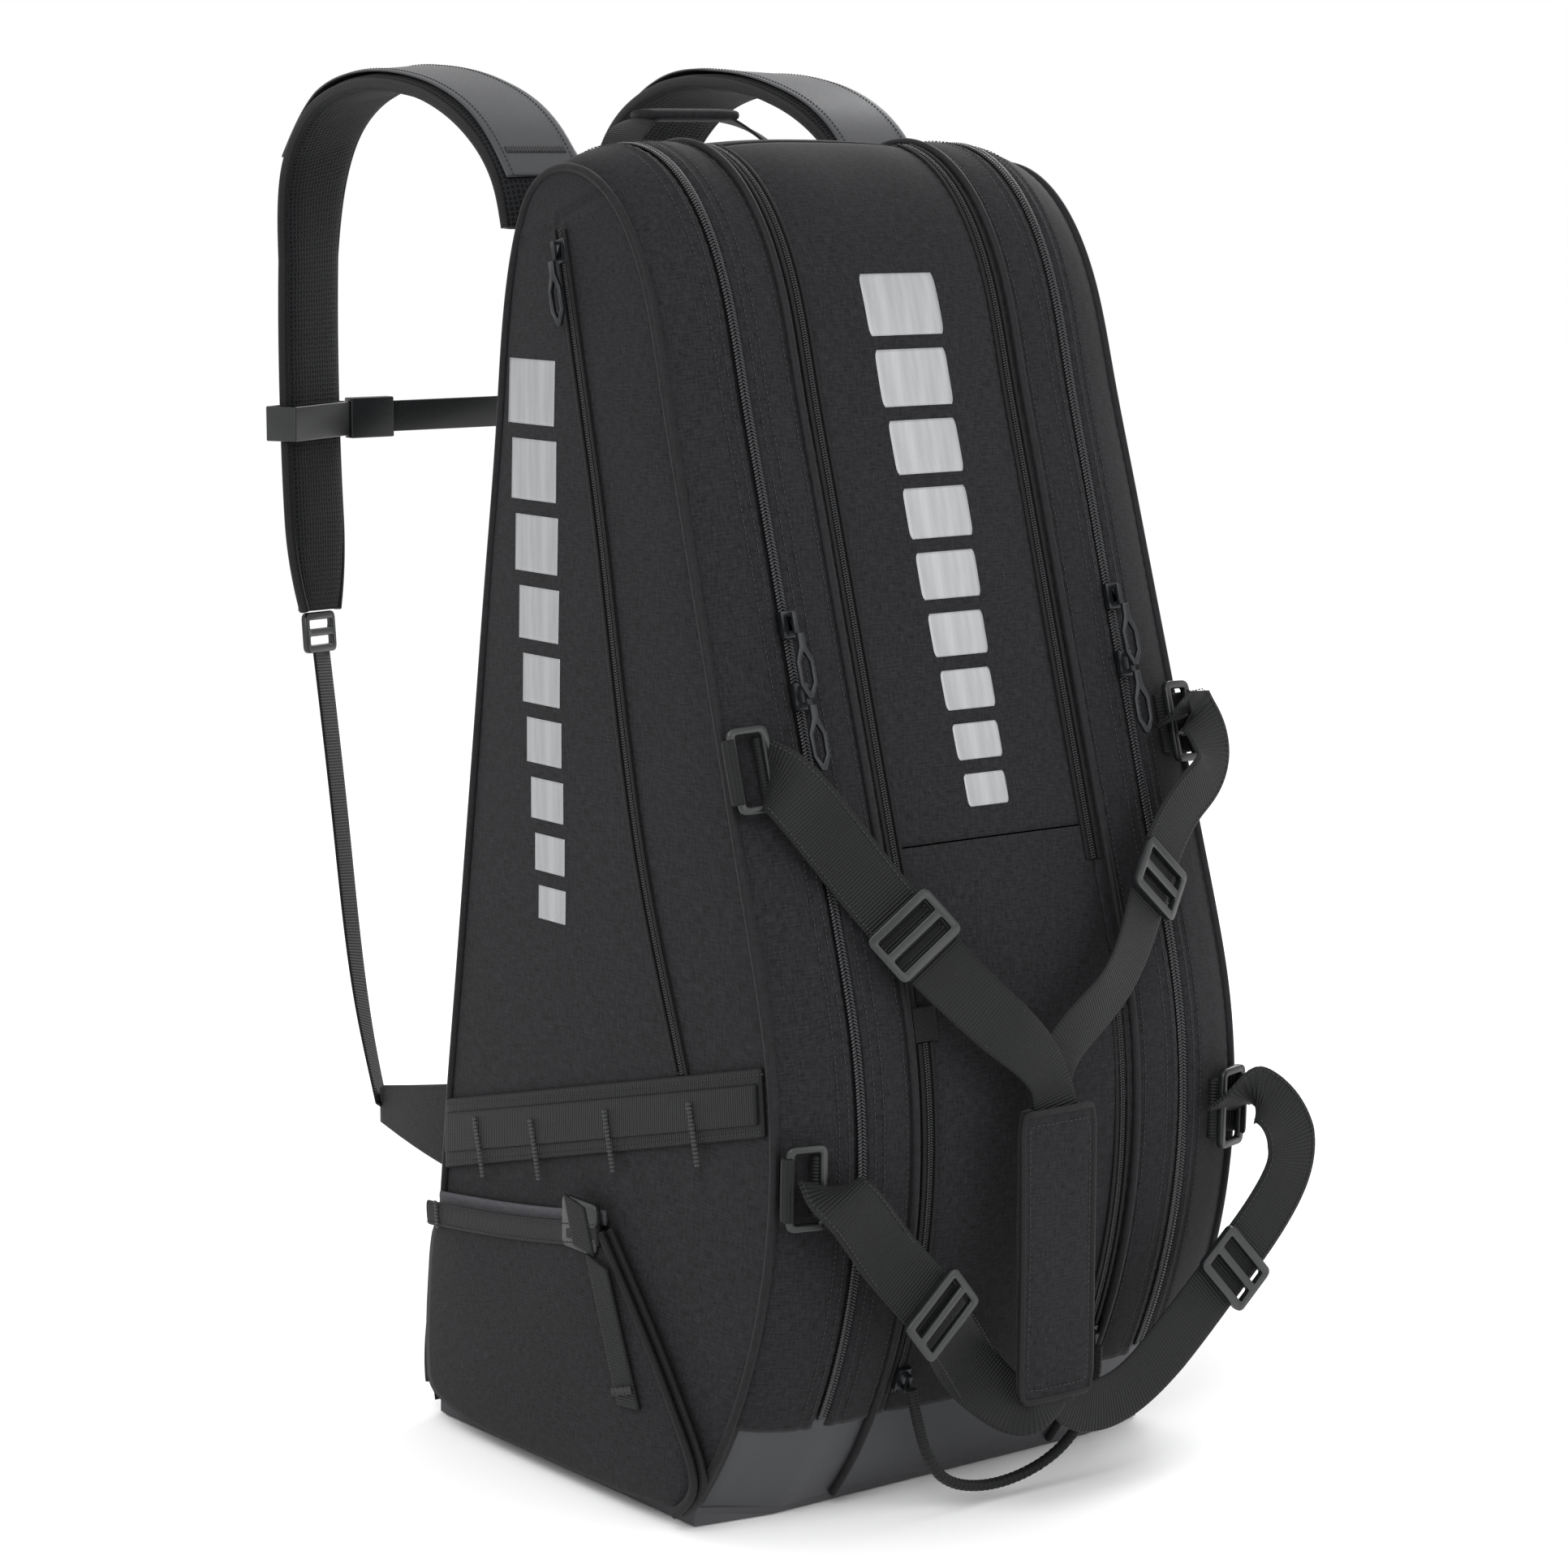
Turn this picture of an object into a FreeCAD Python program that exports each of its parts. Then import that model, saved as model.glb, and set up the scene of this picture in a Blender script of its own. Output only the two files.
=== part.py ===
"""Racket tournament bag standing on its base: three compartments, duffel handles, backpack harness.

Row frame: millimetres, +Z up, origin at the middle of the footprint on the floor, the zipped front faces -Y,
the backpack harness is on the +Y side. Sizes come from the sheet; shapes follow one side profile.
"""
import math
import os

import FreeCAD
import Part
import Sketcher

V = FreeCAD.Vector
ROT = FreeCAD.Rotation
PLACE = FreeCAD.Placement

SIZES = [
    ("body_height", 770.0, "floor to the top of the rounded shell"),
    ("base_depth", 290.0, "front to back along the floor"),
    ("half_width", 172.0, "middle to side panel at the floor"),
    ("side_lean", 0.9, "degrees each side panel leans in"),
    ("wall", 4.0, "padded panel thickness"),
    ("band_height", 62.0, "coated band round the foot"),
    ("main_zip_x", 119.0, "middle to each main zip"),
    ("centre_zip_x", 70.0, "middle to each centre zip"),
    ("piping_x", 82.0, "middle to each inner piping"),
    ("side_set_back", 13.0, "how far the outer bands turn back"),
    ("front_radius", 350.0, "bulge of the lower front, one arc"),
    ("arc_centre_z", 222.0, "height of that arc's centre"),
    ("back_pad", 12.0, "padded back thickness"),
    ("piping_radius", 2.6, "cord in the seams"),
    ("web_width", 38.0, "handle webbing width"),
    ("web_thick", 2.4, "handle webbing thickness"),
    ("strap_width", 62.0, "shoulder strap width"),
    ("strap_thick", 13.0, "shoulder strap padding"),
    ("strap_x", 128.0, "middle to each shoulder strap"),
    ("bar_thick", 4.0, "moulded buckle thickness"),
    ("tab_thick", 2.4, "zip pull thickness"),
    ("patch_thick", 1.2, "sewn flat trims"),
]


def make_sheet(doc):
    """The driving sizes, as plain numbers with word aliases."""
    sheet = doc.addObject("Spreadsheet::Sheet", "Sizes")
    for row, (alias, value, note) in enumerate(SIZES, start=1):
        sheet.set("A%d" % row, alias)
        sheet.set("B%d" % row, str(value))
        sheet.set("C%d" % row, note)
        sheet.setAlias("B%d" % row, alias)
    doc.recompute()
    return sheet


doc = FreeCAD.newDocument("racket_bag")
sheet = make_sheet(doc)
D = {alias: float(getattr(sheet, alias)) for alias, _value, _note in SIZES}
H = D["body_height"]
DEPTH = D["base_depth"]
HALF = D["half_width"]
WALL = D["wall"]
GAP = 0.4
ZIP = D["main_zip_x"]

# ---------------------------------------------------------------- the side profile

ARC_R = D["front_radius"]
ARC_Z = D["arc_centre_z"]
ARC_Y = -0.4745 * DEPTH + math.sqrt(ARC_R ** 2 - ARC_Z ** 2)
LEAN_BACK = math.radians(16.27)
ARC_TOP = ARC_Z + ARC_R * math.sin(LEAN_BACK)
TOP = [(0.948, -0.255), (0.981, -0.166), (0.996, -0.083), (1.0, 0.0), (0.993, 0.083), (0.974, 0.150),
       (0.945, 0.192)]
STRAIGHT_BACK = [(0.905, 0.224), (0.026, 0.526)]


def between(first, last, count):
    """Points spread evenly from first to last, both included."""
    out = []
    for i in range(count):
        t = i / (count - 1.0)
        out.append((first[0] + t * (last[0] - first[0]), first[1] + t * (last[1] - first[1])))
    return out


def arc_y(height):
    """Y of the lower front at a height: one arc from the floor to where the straight begins."""
    return ARC_Y - math.sqrt(ARC_R ** 2 - (height - ARC_Z) ** 2)


def outline_points():
    """The shell's outline from the front foot over the top to the back foot, as (y, z)."""
    low = [(arc_y(ARC_TOP * i / 10.0), ARC_TOP * i / 10.0) for i in range(11)]
    start = (arc_y(ARC_TOP), ARC_TOP)
    high = 0.896 * H
    stop = (start[0] + (high - ARC_TOP) * math.tan(LEAN_BACK), high)
    shift = stop[0] + 0.328 * DEPTH
    pts = low + between(start, stop, 8)[1:]
    pts += [(y * DEPTH + shift * max(0.0, -y) / 0.328, z * H) for z, y in TOP]
    pts += [(y * DEPTH, z * H) for z, y in between(STRAIGHT_BACK[0], STRAIGHT_BACK[1], 9) + [(0.006, 0.515)]]
    return pts


def spline(points):
    """A curve through points."""
    curve = Part.BSplineCurve()
    curve.interpolate(points)
    return curve


OUTLINE = spline([V(0, y, z) for y, z in outline_points()])


def at_length(share):
    """Point and outward normal at a share of the outline."""
    u = OUTLINE.FirstParameter + share * (OUTLINE.LastParameter - OUTLINE.FirstParameter)
    p = OUTLINE.value(u)
    t = OUTLINE.tangent(u)[0]
    size = math.hypot(t.y, t.z)
    return p, V(0, -t.z / size, t.y / size)


def share_at(height, back=False):
    """The share of the outline where it passes a height, on the front or on the back."""
    low, high = (0.56, 1.0) if back else (0.0, 0.56)
    for _ in range(50):
        mid = (low + high) / 2
        if (at_length(mid)[0].z > height) == back:
            low = mid
        else:
            high = mid
    return (low + high) / 2


def offset_points(first, last, out, count, x=0.0):
    """Points along the outline between two shares, pushed outwards."""
    pts = []
    for i in range(count):
        p, n = at_length(first + (last - first) * i / (count - 1.0))
        pts.append(V(x, p.y + out * n.y, p.z + out * n.z))
    return pts


def on_shell(x, height, lift=0.0, back=False):
    """Point and outward normal on the shell at x and a height, lifted off it."""
    p, n = at_length(share_at(height, back))
    push = lift + (0.0 if back else outward(x))
    return V(x, p.y + push * n.y, p.z + push * n.z), n


def outward(x):
    """How far the shell has turned back at x: nothing between the main zips."""
    return -D["side_set_back"] * max(0.0, (abs(x) - ZIP) / (HALF - ZIP))


def ring_wire(x, first, last, inner, outer, count):
    """Closed wire between two offsets of the outline at one x."""
    a = spline(offset_points(first, last, outer, count, x)).toShape()
    b = spline(offset_points(first, last, inner, count, x)).toShape()
    a1, a2 = a.Vertexes[0].Point, a.Vertexes[-1].Point
    b1, b2 = b.Vertexes[0].Point, b.Vertexes[-1].Point
    return Part.Wire([a, Part.makeLine(a2, b2), b, Part.makeLine(b1, a1)])


def strip(x1, x2, first, last, inner, outer, count=30):
    """A panel following the shell between x1 and x2, from one share of the outline to another."""
    t1, t2 = outward(x1), outward(x2)
    a = ring_wire(x1, first, last, inner + t1, outer + t1, count)
    if t1 == t2:
        return Part.Face(a).extrude(V(x2 - x1, 0, 0))
    return Part.makeLoft([a, ring_wire(x2, first, last, inner + t2, outer + t2, count)], True, True)


def slab_wire(x, out):
    """The whole outline at one x, closed flat just under the floor."""
    curve = spline(offset_points(0.0, 1.0, out, 70, x)).toShape()
    first, last = [v.Point for v in (curve.Vertexes[0], curve.Vertexes[-1])]
    foot = Part.makePolygon([last, V(x, last.y, -0.5), V(x, first.y, -0.5), first])
    return Part.Wire([curve] + foot.Edges)


def block(x, y, z):
    """A big box whose low corner is given: used to keep or cut a part of the space."""
    return Part.makeBox(4 * HALF, 4 * DEPTH, 3 * H, V(x, y, z))


def above(height):
    """All the space above a height."""
    return block(-2 * HALF, -2 * DEPTH, height)


def slab(x1, x2, out, low):
    """The outline filled solid from x1 to x2, above a height."""
    return Part.Face(slab_wire(x1, out)).extrude(V(x2 - x1, 0, 0)).common(above(low))


def hull(half, out):
    """The whole shell filled solid, with the outer bands turned back."""
    solid = Part.Face(slab_wire(-ZIP, out)).extrude(V(2 * ZIP, 0, 0))
    for side in (-1, 1):
        wires = [slab_wire(side * ZIP, out), slab_wire(side * half, out + outward(half))]
        solid = solid.fuse(Part.makeLoft(wires, True, True))
    return solid


def back_space(extra):
    """Everything behind the inner face of the padded back."""
    pts = offset_points(TOP_BACK, 0.9985, -D["back_pad"] - extra, 30, -2 * HALF)
    a, b = pts[0], pts[-1]
    far = 2 * DEPTH
    tail = [b, V(a.x, b.y, -9.0), V(a.x, far, -9.0), V(a.x, far, a.z), a]
    return Part.Face(Part.Wire([spline(pts).toShape(), Part.makePolygon(tail)])).extrude(V(4 * HALF, 0, 0))


# ---------------------------------------------------------------- document helpers

PARTS = {}


def feature(label, shape, placement=None):
    """A plain shape object; a list becomes one piece of several solids."""
    obj = doc.addObject("Part::Feature", label)
    obj.Label = label
    obj.Shape = Part.makeCompound(shape) if isinstance(shape, list) else shape
    obj.Placement = placement or PLACE()
    PARTS[label] = obj
    return obj


def loop(sketch, points):
    """Add one closed polygon to a sketch."""
    first = sketch.GeometryCount
    n = len(points)
    for i in range(n):
        a, b = points[i], points[(i + 1) % n]
        sketch.addGeometry(Part.LineSegment(V(a[0], a[1], 0), V(b[0], b[1], 0)), False)
    for i in range(n):
        sketch.addConstraint(Sketcher.Constraint("Coincident", first + i, 2, first + (i + 1) % n, 1))


def plate(label, loops, thick, placement, keep=True):
    """A PartDesign body: closed outlines padded by a size from the sheet (or a number)."""
    body = doc.addObject("PartDesign::Body", label)
    body.Label = label
    sketch = body.newObject("Sketcher::SketchObject", label + "_outline")
    for points in loops:
        loop(sketch, points)
    pad = body.newObject("PartDesign::Pad", label + "_pad")
    pad.Profile = sketch
    if isinstance(thick, str):
        pad.setExpression("Length", "Sizes." + thick)
    else:
        pad.Length = thick
    body.Placement = placement
    if keep:
        PARTS[label] = body
    return body


def group(label, members):
    """One piece made of several document objects."""
    obj = doc.addObject("Part::Compound", label)
    obj.Label = label
    obj.Links = members
    PARTS[label] = obj
    return obj


def rounded(w, h, r, cx=0.0, cy=0.0, steps=3):
    """A rounded rectangle as points."""
    pts = []
    for sx, sy, start in ((1, 1, 0), (-1, 1, 90), (-1, -1, 180), (1, -1, 270)):
        for i in range(steps + 1):
            a = math.radians(start + 90.0 * i / steps)
            pts.append((cx + sx * (w / 2 - r) + r * math.cos(a), cy + sy * (h / 2 - r) + r * math.sin(a)))
    return pts


def unit(v):
    """The vector with length one."""
    return v * (1.0 / v.Length)


def frame_at(point, along, facing):
    """Placement whose local Y runs along, local Z faces out and local X goes across."""
    y = unit(along)
    x = unit(y.cross(facing))
    z = x.cross(y)
    return PLACE(point, ROT(x, y, z, "ZYX"))


def ribbon(stations, width, thick, lift=0.0, steps=5):
    """Flat webbing through stations of (centre, facing[, width factor]), lifted towards its facing."""
    curve = spline([s[0] for s in stations])
    knots = [curve.parameter(s[0]) for s in stations]
    wires = []
    for i in range(len(stations) - 1):
        last = i == len(stations) - 2
        for j in range(steps + (1 if last else 0)):
            f = j / float(steps)
            u = knots[i] + f * (knots[i + 1] - knots[i])
            facing = stations[i][1] * (1 - f) + stations[i + 1][1] * f
            ends = [s[2] if len(s) > 2 else 1.0 for s in (stations[i], stations[i + 1])]
            wires.append(section(curve.value(u), curve.tangent(u)[0], facing,
                                 width * (ends[0] * (1 - f) + ends[1] * f), thick, lift))
    return Part.makeLoft(wires, True, True)


def section(point, along, facing, width, thick, lift):
    """Rectangle across a ribbon."""
    y = unit(along)
    x = unit(y.cross(facing))
    n = x.cross(y)
    p = point + n * lift
    w, t = x * (width / 2), n * (thick / 2)
    corners = [p + w + t, p - w + t, p - w - t, p + w - t]
    return Part.makePolygon(corners + [corners[0]])


def cord(points, radius):
    """A round cord swept along points."""
    path = Part.Wire([spline(points).toShape()])
    ring = Part.Wire([Part.makeCircle(radius, points[0], unit(points[1] - points[0]))])
    return path.makePipeShell([ring], True, False)


def lean(side):
    """Placement that leans a side-plane part in with its side panel."""
    turn = ROT(V(0, 1, 0), -side * D["side_lean"])
    pivot = V(side * HALF, 0, 0)
    return PLACE(pivot, turn).multiply(PLACE(pivot * -1, ROT()))


def side_plate(label, side, points, proud, thick, keep=True):
    """A flat trim on a side panel: (y, z) outline, lying proud of the panel."""
    size = D[thick] if isinstance(thick, str) else thick
    start = HALF + proud if side > 0 else -(HALF + proud) - size
    turn = ROT(V(0, 1, 0), V(0, 0, 1), V(1, 0, 0), "ZXY")
    return plate(label, [points], thick, lean(side).multiply(PLACE(V(start, 0, 0), turn)), keep)


def beyond(side, inset):
    """The space outside a side panel's plane, moved in by an inset."""
    box = block(0, -2 * DEPTH, -H)
    start = side * (HALF - inset) - (4 * HALF if side < 0 else 0)
    box.Placement = lean(side).multiply(PLACE(V(start, 0, 0), ROT()))
    return box


# ---------------------------------------------------------------- key heights

CZIP = D["centre_zip_x"]
BAND = D["band_height"]
FLAP_LOW = 0.50 * H
FOOT = share_at(BAND + GAP)
FLAP = share_at(FLAP_LOW)
RIDGE = share_at(0.9985 * H)
TOP_BACK = share_at(0.950 * H, True)
SIDES = (("left", -1), ("right", 1))
SPAN = H / 770.0
REACH = DEPTH / 290.0


# ---------------------------------------------------------------- shell

def shell():
    """Middle compartment, its fold-down panel and the walls to the outer compartments."""
    whole = strip(-ZIP + GAP, ZIP - GAP, FOOT, TOP_BACK, -WALL, 0.0, 40)
    window = strip(-CZIP + 0.1, CZIP - 0.1, FLAP - 0.0004, RIDGE, -WALL - 2, 2.0)
    feature("centre_shell", whole.cut(window))
    feature("centre_flap", strip(-CZIP + 0.5, CZIP - 0.5, FLAP, RIDGE - 0.0006, -WALL, 0.0))
    walls = []
    for _name, side in SIDES:
        x = side * (ZIP - GAP - 3.0)
        walls.append(slab(min(x, x + side * 3.0), max(x, x + side * 3.0), -WALL - 0.05, 5.05).cut(back_space(0.05)))
    feature("dividers", walls)


def base_tray():
    """Coated foot: floor, front band and low side walls in one."""
    inset = WALL + GAP
    low = Part.makeBox(4 * HALF, 4 * DEPTH, BAND, V(-2 * HALF, -2 * DEPTH, 0))
    solid = hull(HALF + 6, 0.0).common(low)
    hollow = hull(HALF + 6, -WALL).common(above(5.0))
    heel = Part.makeBox(4 * HALF, 200, 2 * BAND, V(-2 * HALF, 131, -1))
    for _name, side in SIDES:
        # the heel is narrower, so that an opening cover clears it
        solid = solid.cut(beyond(side, inset)).cut(beyond(side, inset + 1.2).common(heel))
        hollow = hollow.cut(beyond(side, inset + 3.5))
    feature("base_tray", solid.cut(hollow).cut(back_space(0.05)))


def back_panel():
    """Padded back, full width, carrying the harness, with three raised pads."""
    wide = HALF + 6
    solid = Part.Face(ring_wire(-wide, TOP_BACK, 0.9985, -D["back_pad"], 0.0, 30)).extrude(V(2 * wide, 0, 0))
    for _name, side in SIDES:
        solid = solid.cut(beyond(side, 0.5))
    feature("back_panel", solid)
    pads = []
    for low, high in ((0.16, 0.36), (0.40, 0.60), (0.64, 0.84)):
        a, b = share_at(high * H, True), share_at(low * H, True)
        pads.append(Part.Face(ring_wire(-76, a, b, 0.0, 5.0, 12)).extrude(V(152, 0, 0)))
    feature("back_pads", pads)


def covers():
    """Side panels with their front and top bands: each opens on its back edge."""
    for name, side in SIDES:
        band = strip(side * (ZIP + GAP), side * (HALF + 6), FOOT, TOP_BACK, -WALL, 0.0)
        band = band.cut(beyond(side, 0.0))
        x = -HALF if side < 0 else HALF - WALL
        panel = slab(x, x + WALL, -D["side_set_back"], 6.0)
        panel.Placement = lean(side)
        whole = panel.fuse(band).removeSplitter()
        feature("cover_" + name, whole.cut(back_space(GAP)))


# ---------------------------------------------------------------- seams and zips

def pipings():
    """Cords in the outer seams and raised seams beside the centre zips."""
    r = D["piping_radius"]
    front = []
    for name, side in SIDES:
        pts = offset_points(share_at(9.0), TOP_BACK - 0.004, 1.2 - D["side_set_back"], 34, side * (HALF + 1.6))
        feature("piping_side_" + name, cord(pts, r), lean(side))
        x = side * D["piping_x"]
        front.append(strip(x - 0.8 * r, x + 0.8 * r, FOOT, TOP_BACK - 0.002, 0.0, 2.4))
    feature("piping_front", front)


def zips():
    """Zip halves on the middle, zip halves on the covers, and the thin zips."""
    low, high = share_at(BAND + 6), TOP_BACK - 0.004
    inner = []
    for name, side in SIDES:
        for word, first, step in (("inner", ZIP - GAP, -1), ("outer", ZIP + GAP, 1)):
            tape = strip(side * first, side * (first + step * 13), low, high, 0.0, 1.0)
            coil = strip(side * first, side * (first + step * 3), low, high, 1.0, 2.6)
            if word == "inner":
                inner += [tape, coil]
            else:
                feature("main_zip_" + name, [tape, coil])
        x = side * CZIP
        inner.append(strip(x + side * 0.4, x + side * 8, share_at(0.475 * H), RIDGE, 0.0, 1.8))
        inner.append(strip(x - 6, x + 6, share_at(BAND + 14), share_at(0.365 * H), 0.0, 1.8))
        inner.append(strip(x - 9, x + 9, share_at(0.366 * H), share_at(0.39 * H), 0.0, 2.4))
    feature("zips_inner", inner)


def slider_shape(size):
    """Zip slider: body with a bridge for its pull."""
    body = Part.makeBox(10 * size, 15 * size, 3.2, V(-5 * size, -7.5 * size, 0))
    bridge = Part.makeBox(3.0, 12 * size, 5.4, V(-1.5, -6 * size, 3.2))
    slot = Part.makeBox(3.2, 7.6 * size, 3.4, V(-1.6, -3.8 * size, 3.3))
    return body.fuse(bridge.cut(slot)).removeSplitter()


def pull(label, place, length):
    """Zip pull: long six-sided frame hanging from a slider."""
    w = 5.6
    outer = [(-2.3, 0.6), (2.3, 0.6), (2.3, -7), (w, -length * 0.42), (w, -length * 0.78), (1.6, -length),
             (-1.6, -length), (-w, -length * 0.78), (-w, -length * 0.42), (-2.3, -7)]
    k = w - 2.3
    hole = [(0.0, -10), (k, -length * 0.44), (k, -length * 0.76), (0, -length + 3.6), (-k, -length * 0.76),
            (-k, -length * 0.44)]
    local = PLACE(V(0, -6.6, 9.2), ROT())
    plate(label, [outer, hole], "tab_thick", place.multiply(local))


def sliders():
    """Two sliders with pulls on each main zip, and one on the left side zip."""
    for name, side in SIDES:
        for word, height in (("upper", 0.662 * H), ("lower", 0.612 * H)):
            p, n = on_shell(side * ZIP, height, 3.0)
            along = on_shell(0, height + 5)[0] - on_shell(0, height - 5)[0]
            place = frame_at(p, along, n)
            feature("slider_%s_%s" % (word, name), slider_shape(1.0), place)
            pull("pull_%s_%s" % (word, name), place, 36)
    a, b = SIDE_ZIP[0], SIDE_ZIP[1]
    along = V(0, a[0] - b[0], a[1] - b[1])
    place = lean(-1).multiply(frame_at(V(-HALF - 2.2, a[0] - 3.3, a[1] - 12), along, V(-1, 0, 0)))
    feature("slider_side", slider_shape(0.9), place)
    pull("pull_side", place, 36)


# ---------------------------------------------------------------- side panel trims

SIDE_ZIP = [(0.0 * REACH, 724 * SPAN), (-93.0 * REACH, 352 * SPAN), (-124 * REACH, 268 * SPAN)]


def side_webbing():
    """Wide and narrow bands, the ring stubs and, on the left, the pocket's short web."""
    yb, yf = 118.0 * REACH, -196.0 * REACH
    band = [(yb, 160 * SPAN), (yb, 201 * SPAN), (yf, 277 * SPAN), (yf - 4, 241 * SPAN)]
    narrow = [(yb - 2, 170 * SPAN), (yb - 2, 193 * SPAN), (yf + 2, 268 * SPAN), (yf, 247 * SPAN)]
    for name, side in SIDES:
        flat = side_plate("side_wide_" + name, side, band, 0.0, "patch_thick", False)
        thin = side_plate("side_narrow_" + name, side, narrow, D["patch_thick"], 1.6, False)
        stubs = doc.addObject("Part::Feature", "ring_stubs_" + name)
        stubs.Shape = Part.makeCompound([stub(side, z) for z in (RING_HIGH, RING_LOW)])
        members = [flat, thin, stubs]
        if side < 0:
            web = [(-54, 146), (-74, 141), (-104, 66), (-84, 64)]
            web = [(y * REACH, z * SPAN) for y, z in web]
            members.append(side_plate("pocket_web", side, web, POCKET_OUT + WALL, 1.6, False))
        group("side_webbing_" + name, members)
        if side < 0:
            line = [(y + d, z) for y, z in SIDE_ZIP for d in (-4.5,)] + [(y + 4.5, z) for y, z in SIDE_ZIP[::-1]]
            side_plate("side_zip", side, line, 0.0, 1.8)


POCKET_OUT = 10.0


def lower_pocket():
    """Open-topped pocket low on the left side: panel, gusset and ladder buckle."""
    panel = [(128, 9), (131, 60), (126, 132), (60, 140), (-20, 152), (-62, 160), (-106, 106), (-136, 62), (-146, 30),
             (-126, 9)]
    gusset = [(128, 9), (131, 60), (127, 128), (122, 128), (126, 60), (123, 14), (-123, 14), (-141, 33), (-131, 60),
              (-101, 104), (-64, 150), (-62, 160), (-106, 106), (-136, 62), (-146, 30), (-126, 9)]
    panel = [(y * REACH, z * SPAN) for y, z in panel]
    gusset = [(y * REACH, z * SPAN) for y, z in gusset]
    members = [side_plate("pocket_panel", -1, panel, POCKET_OUT, "wall", False),
               side_plate("pocket_gusset", -1, gusset, 0.0, POCKET_OUT, False)]
    group("lower_pocket", members)
    loops = [rounded(34, 30, 4, -44 * REACH, 160 * SPAN)]
    side_plate("pocket_buckle", -1, loops[0], POCKET_OUT + WALL + 0.05, "bar_thick")
    side = [(96, 96), (100, 260), (74, 386), (-100, 400), (-140, 392), (-162, 330), (-176, 270), (-178, 160),
            (-150, 96)]
    side_plate("right_pocket", 1, [(y * REACH, z * SPAN) for y, z in side], 3.0, 8.0)


# ---------------------------------------------------------------- duffel handles

RING_HIGH = 0.566 * H
RING_LOW = 0.277 * H
GRIP_X = -5.0
GRIP_Y = ARC_Y - ARC_R - 30.0
GRIP_LOW = 76.0 * SPAN
GRIP_HIGH = 241.0 * SPAN


def ring_place(side, height):
    """Where a handle ring lies on the outer band: long side up the seam."""
    p, n = on_shell(side * (HALF - 15), height, 9.0)
    along = on_shell(0, height + 5)[0] - on_shell(0, height - 5)[0]
    return frame_at(p, along, n + V(side * 0.25, 0, 0))


def stub(side, height):
    """Short web from the seam to a ring."""
    place = ring_place(side, height)
    inner = place.multVec(V(side * 9.6, 0, 2.0))
    outer, n = on_shell(side * (HALF - 1), height, 2.0)
    return ribbon([(outer, n), (inner, n)], 34, 2.0, 0.0, 1)


def rings():
    """Two rectangular rings on each outer seam."""
    outline = [rounded(24, 48, 4.5), rounded(15, 39, 1.5)]
    for name, side in SIDES:
        pair = []
        for word, z in (("upper", RING_HIGH), ("lower", RING_LOW)):
            pair.append(plate("ring_%s_%s" % (word, name), outline, "bar_thick", ring_place(side, z), False))
        group("rings_" + name, pair)


def handle_stations(side):
    """Upper run through the grip, and lower run, as stations of centre, facing and width."""
    lean_face, front = V(0, -1, -0.25), V(0, -1, 0)
    y = GRIP_Y + 1.35 * side
    g = GRIP_X
    high, low = GRIP_HIGH, GRIP_LOW
    if side < 0:
        upper = [(V(-148, -187, RING_HIGH - 6), V(-0.3, -1, -0.3), 0.95), (V(-122, -198, 396 * SPAN), lean_face),
                 (V(-83, -216, 343 * SPAN), lean_face), (V(-42, -248.5, 291 * SPAN), lean_face, 0.9)]
        lower = [(V(-147, -238, RING_LOW - 4), front, 0.95), (V(-122, -241, 178 * SPAN), front),
                 (V(-88, -245, 138 * SPAN), front), (V(-46, -230.5, 90 * SPAN), front),
                 (V(-14, y - 1, 50 * SPAN), front, 0.7)]
    else:
        upper = [(V(152, -184, RING_HIGH + 8), V(0.3, -1, -0.3), 0.9), (V(158, -197, 418 * SPAN), V(0.2, -1, -0.2)),
                 (V(137, -203, 398 * SPAN), lean_face), (V(97, -214, 355 * SPAN), lean_face),
                 (V(44, -236.2, 298 * SPAN), lean_face, 0.9)]
        lower = [(V(160, -240, RING_LOW + 10), V(0.3, -1, 0), 0.9), (V(176, -250, 198 * SPAN), front),
                 (V(166, -248, 162 * SPAN), front), (V(134, -244, 126 * SPAN), front),
                 (V(88, -243, 86 * SPAN), front), (V(40, -243, 60 * SPAN), front, 0.85),
                 (V(12, y + 3, 50 * SPAN), front, 0.7)]
    upper += [(V(g + 3 * side - 3, y, high + 18), front, 0.75), (V(g, y, high - 4), front, 0.85),
              (V(g, y, (high + low) / 2), front, 0.85), (V(g, y, low - 6), front, 0.85)]
    return upper, lower


def handles():
    """Handle webbing and its adjusting buckles."""
    slot = [rounded(46, 32, 4), rounded(37, 8.5, 1.2, 0, 6.7), rounded(37, 8.5, 1.2, 0, -6.7)]
    for name, side in SIDES:
        upper, lower = handle_stations(side)
        width, thick = D["web_width"], D["web_thick"]
        feature("handle_web_" + name, ribbon(upper, width, thick).fuse(ribbon(lower, width, thick)))
        for word, stations, i in (("upper", upper, 2 if side < 0 else 3), ("lower", lower, 2 if side < 0 else 3)):
            curve = spline([s[0] for s in stations])
            p = stations[i][0]
            place = frame_at(p, curve.tangent(curve.parameter(p))[0], stations[i][1])
            lift = PLACE(V(0, 0, thick / 2 + 1.5), ROT())
            plate("handle_buckle_%s_%s" % (word, name), slot, "bar_thick", place.multiply(lift))


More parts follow.
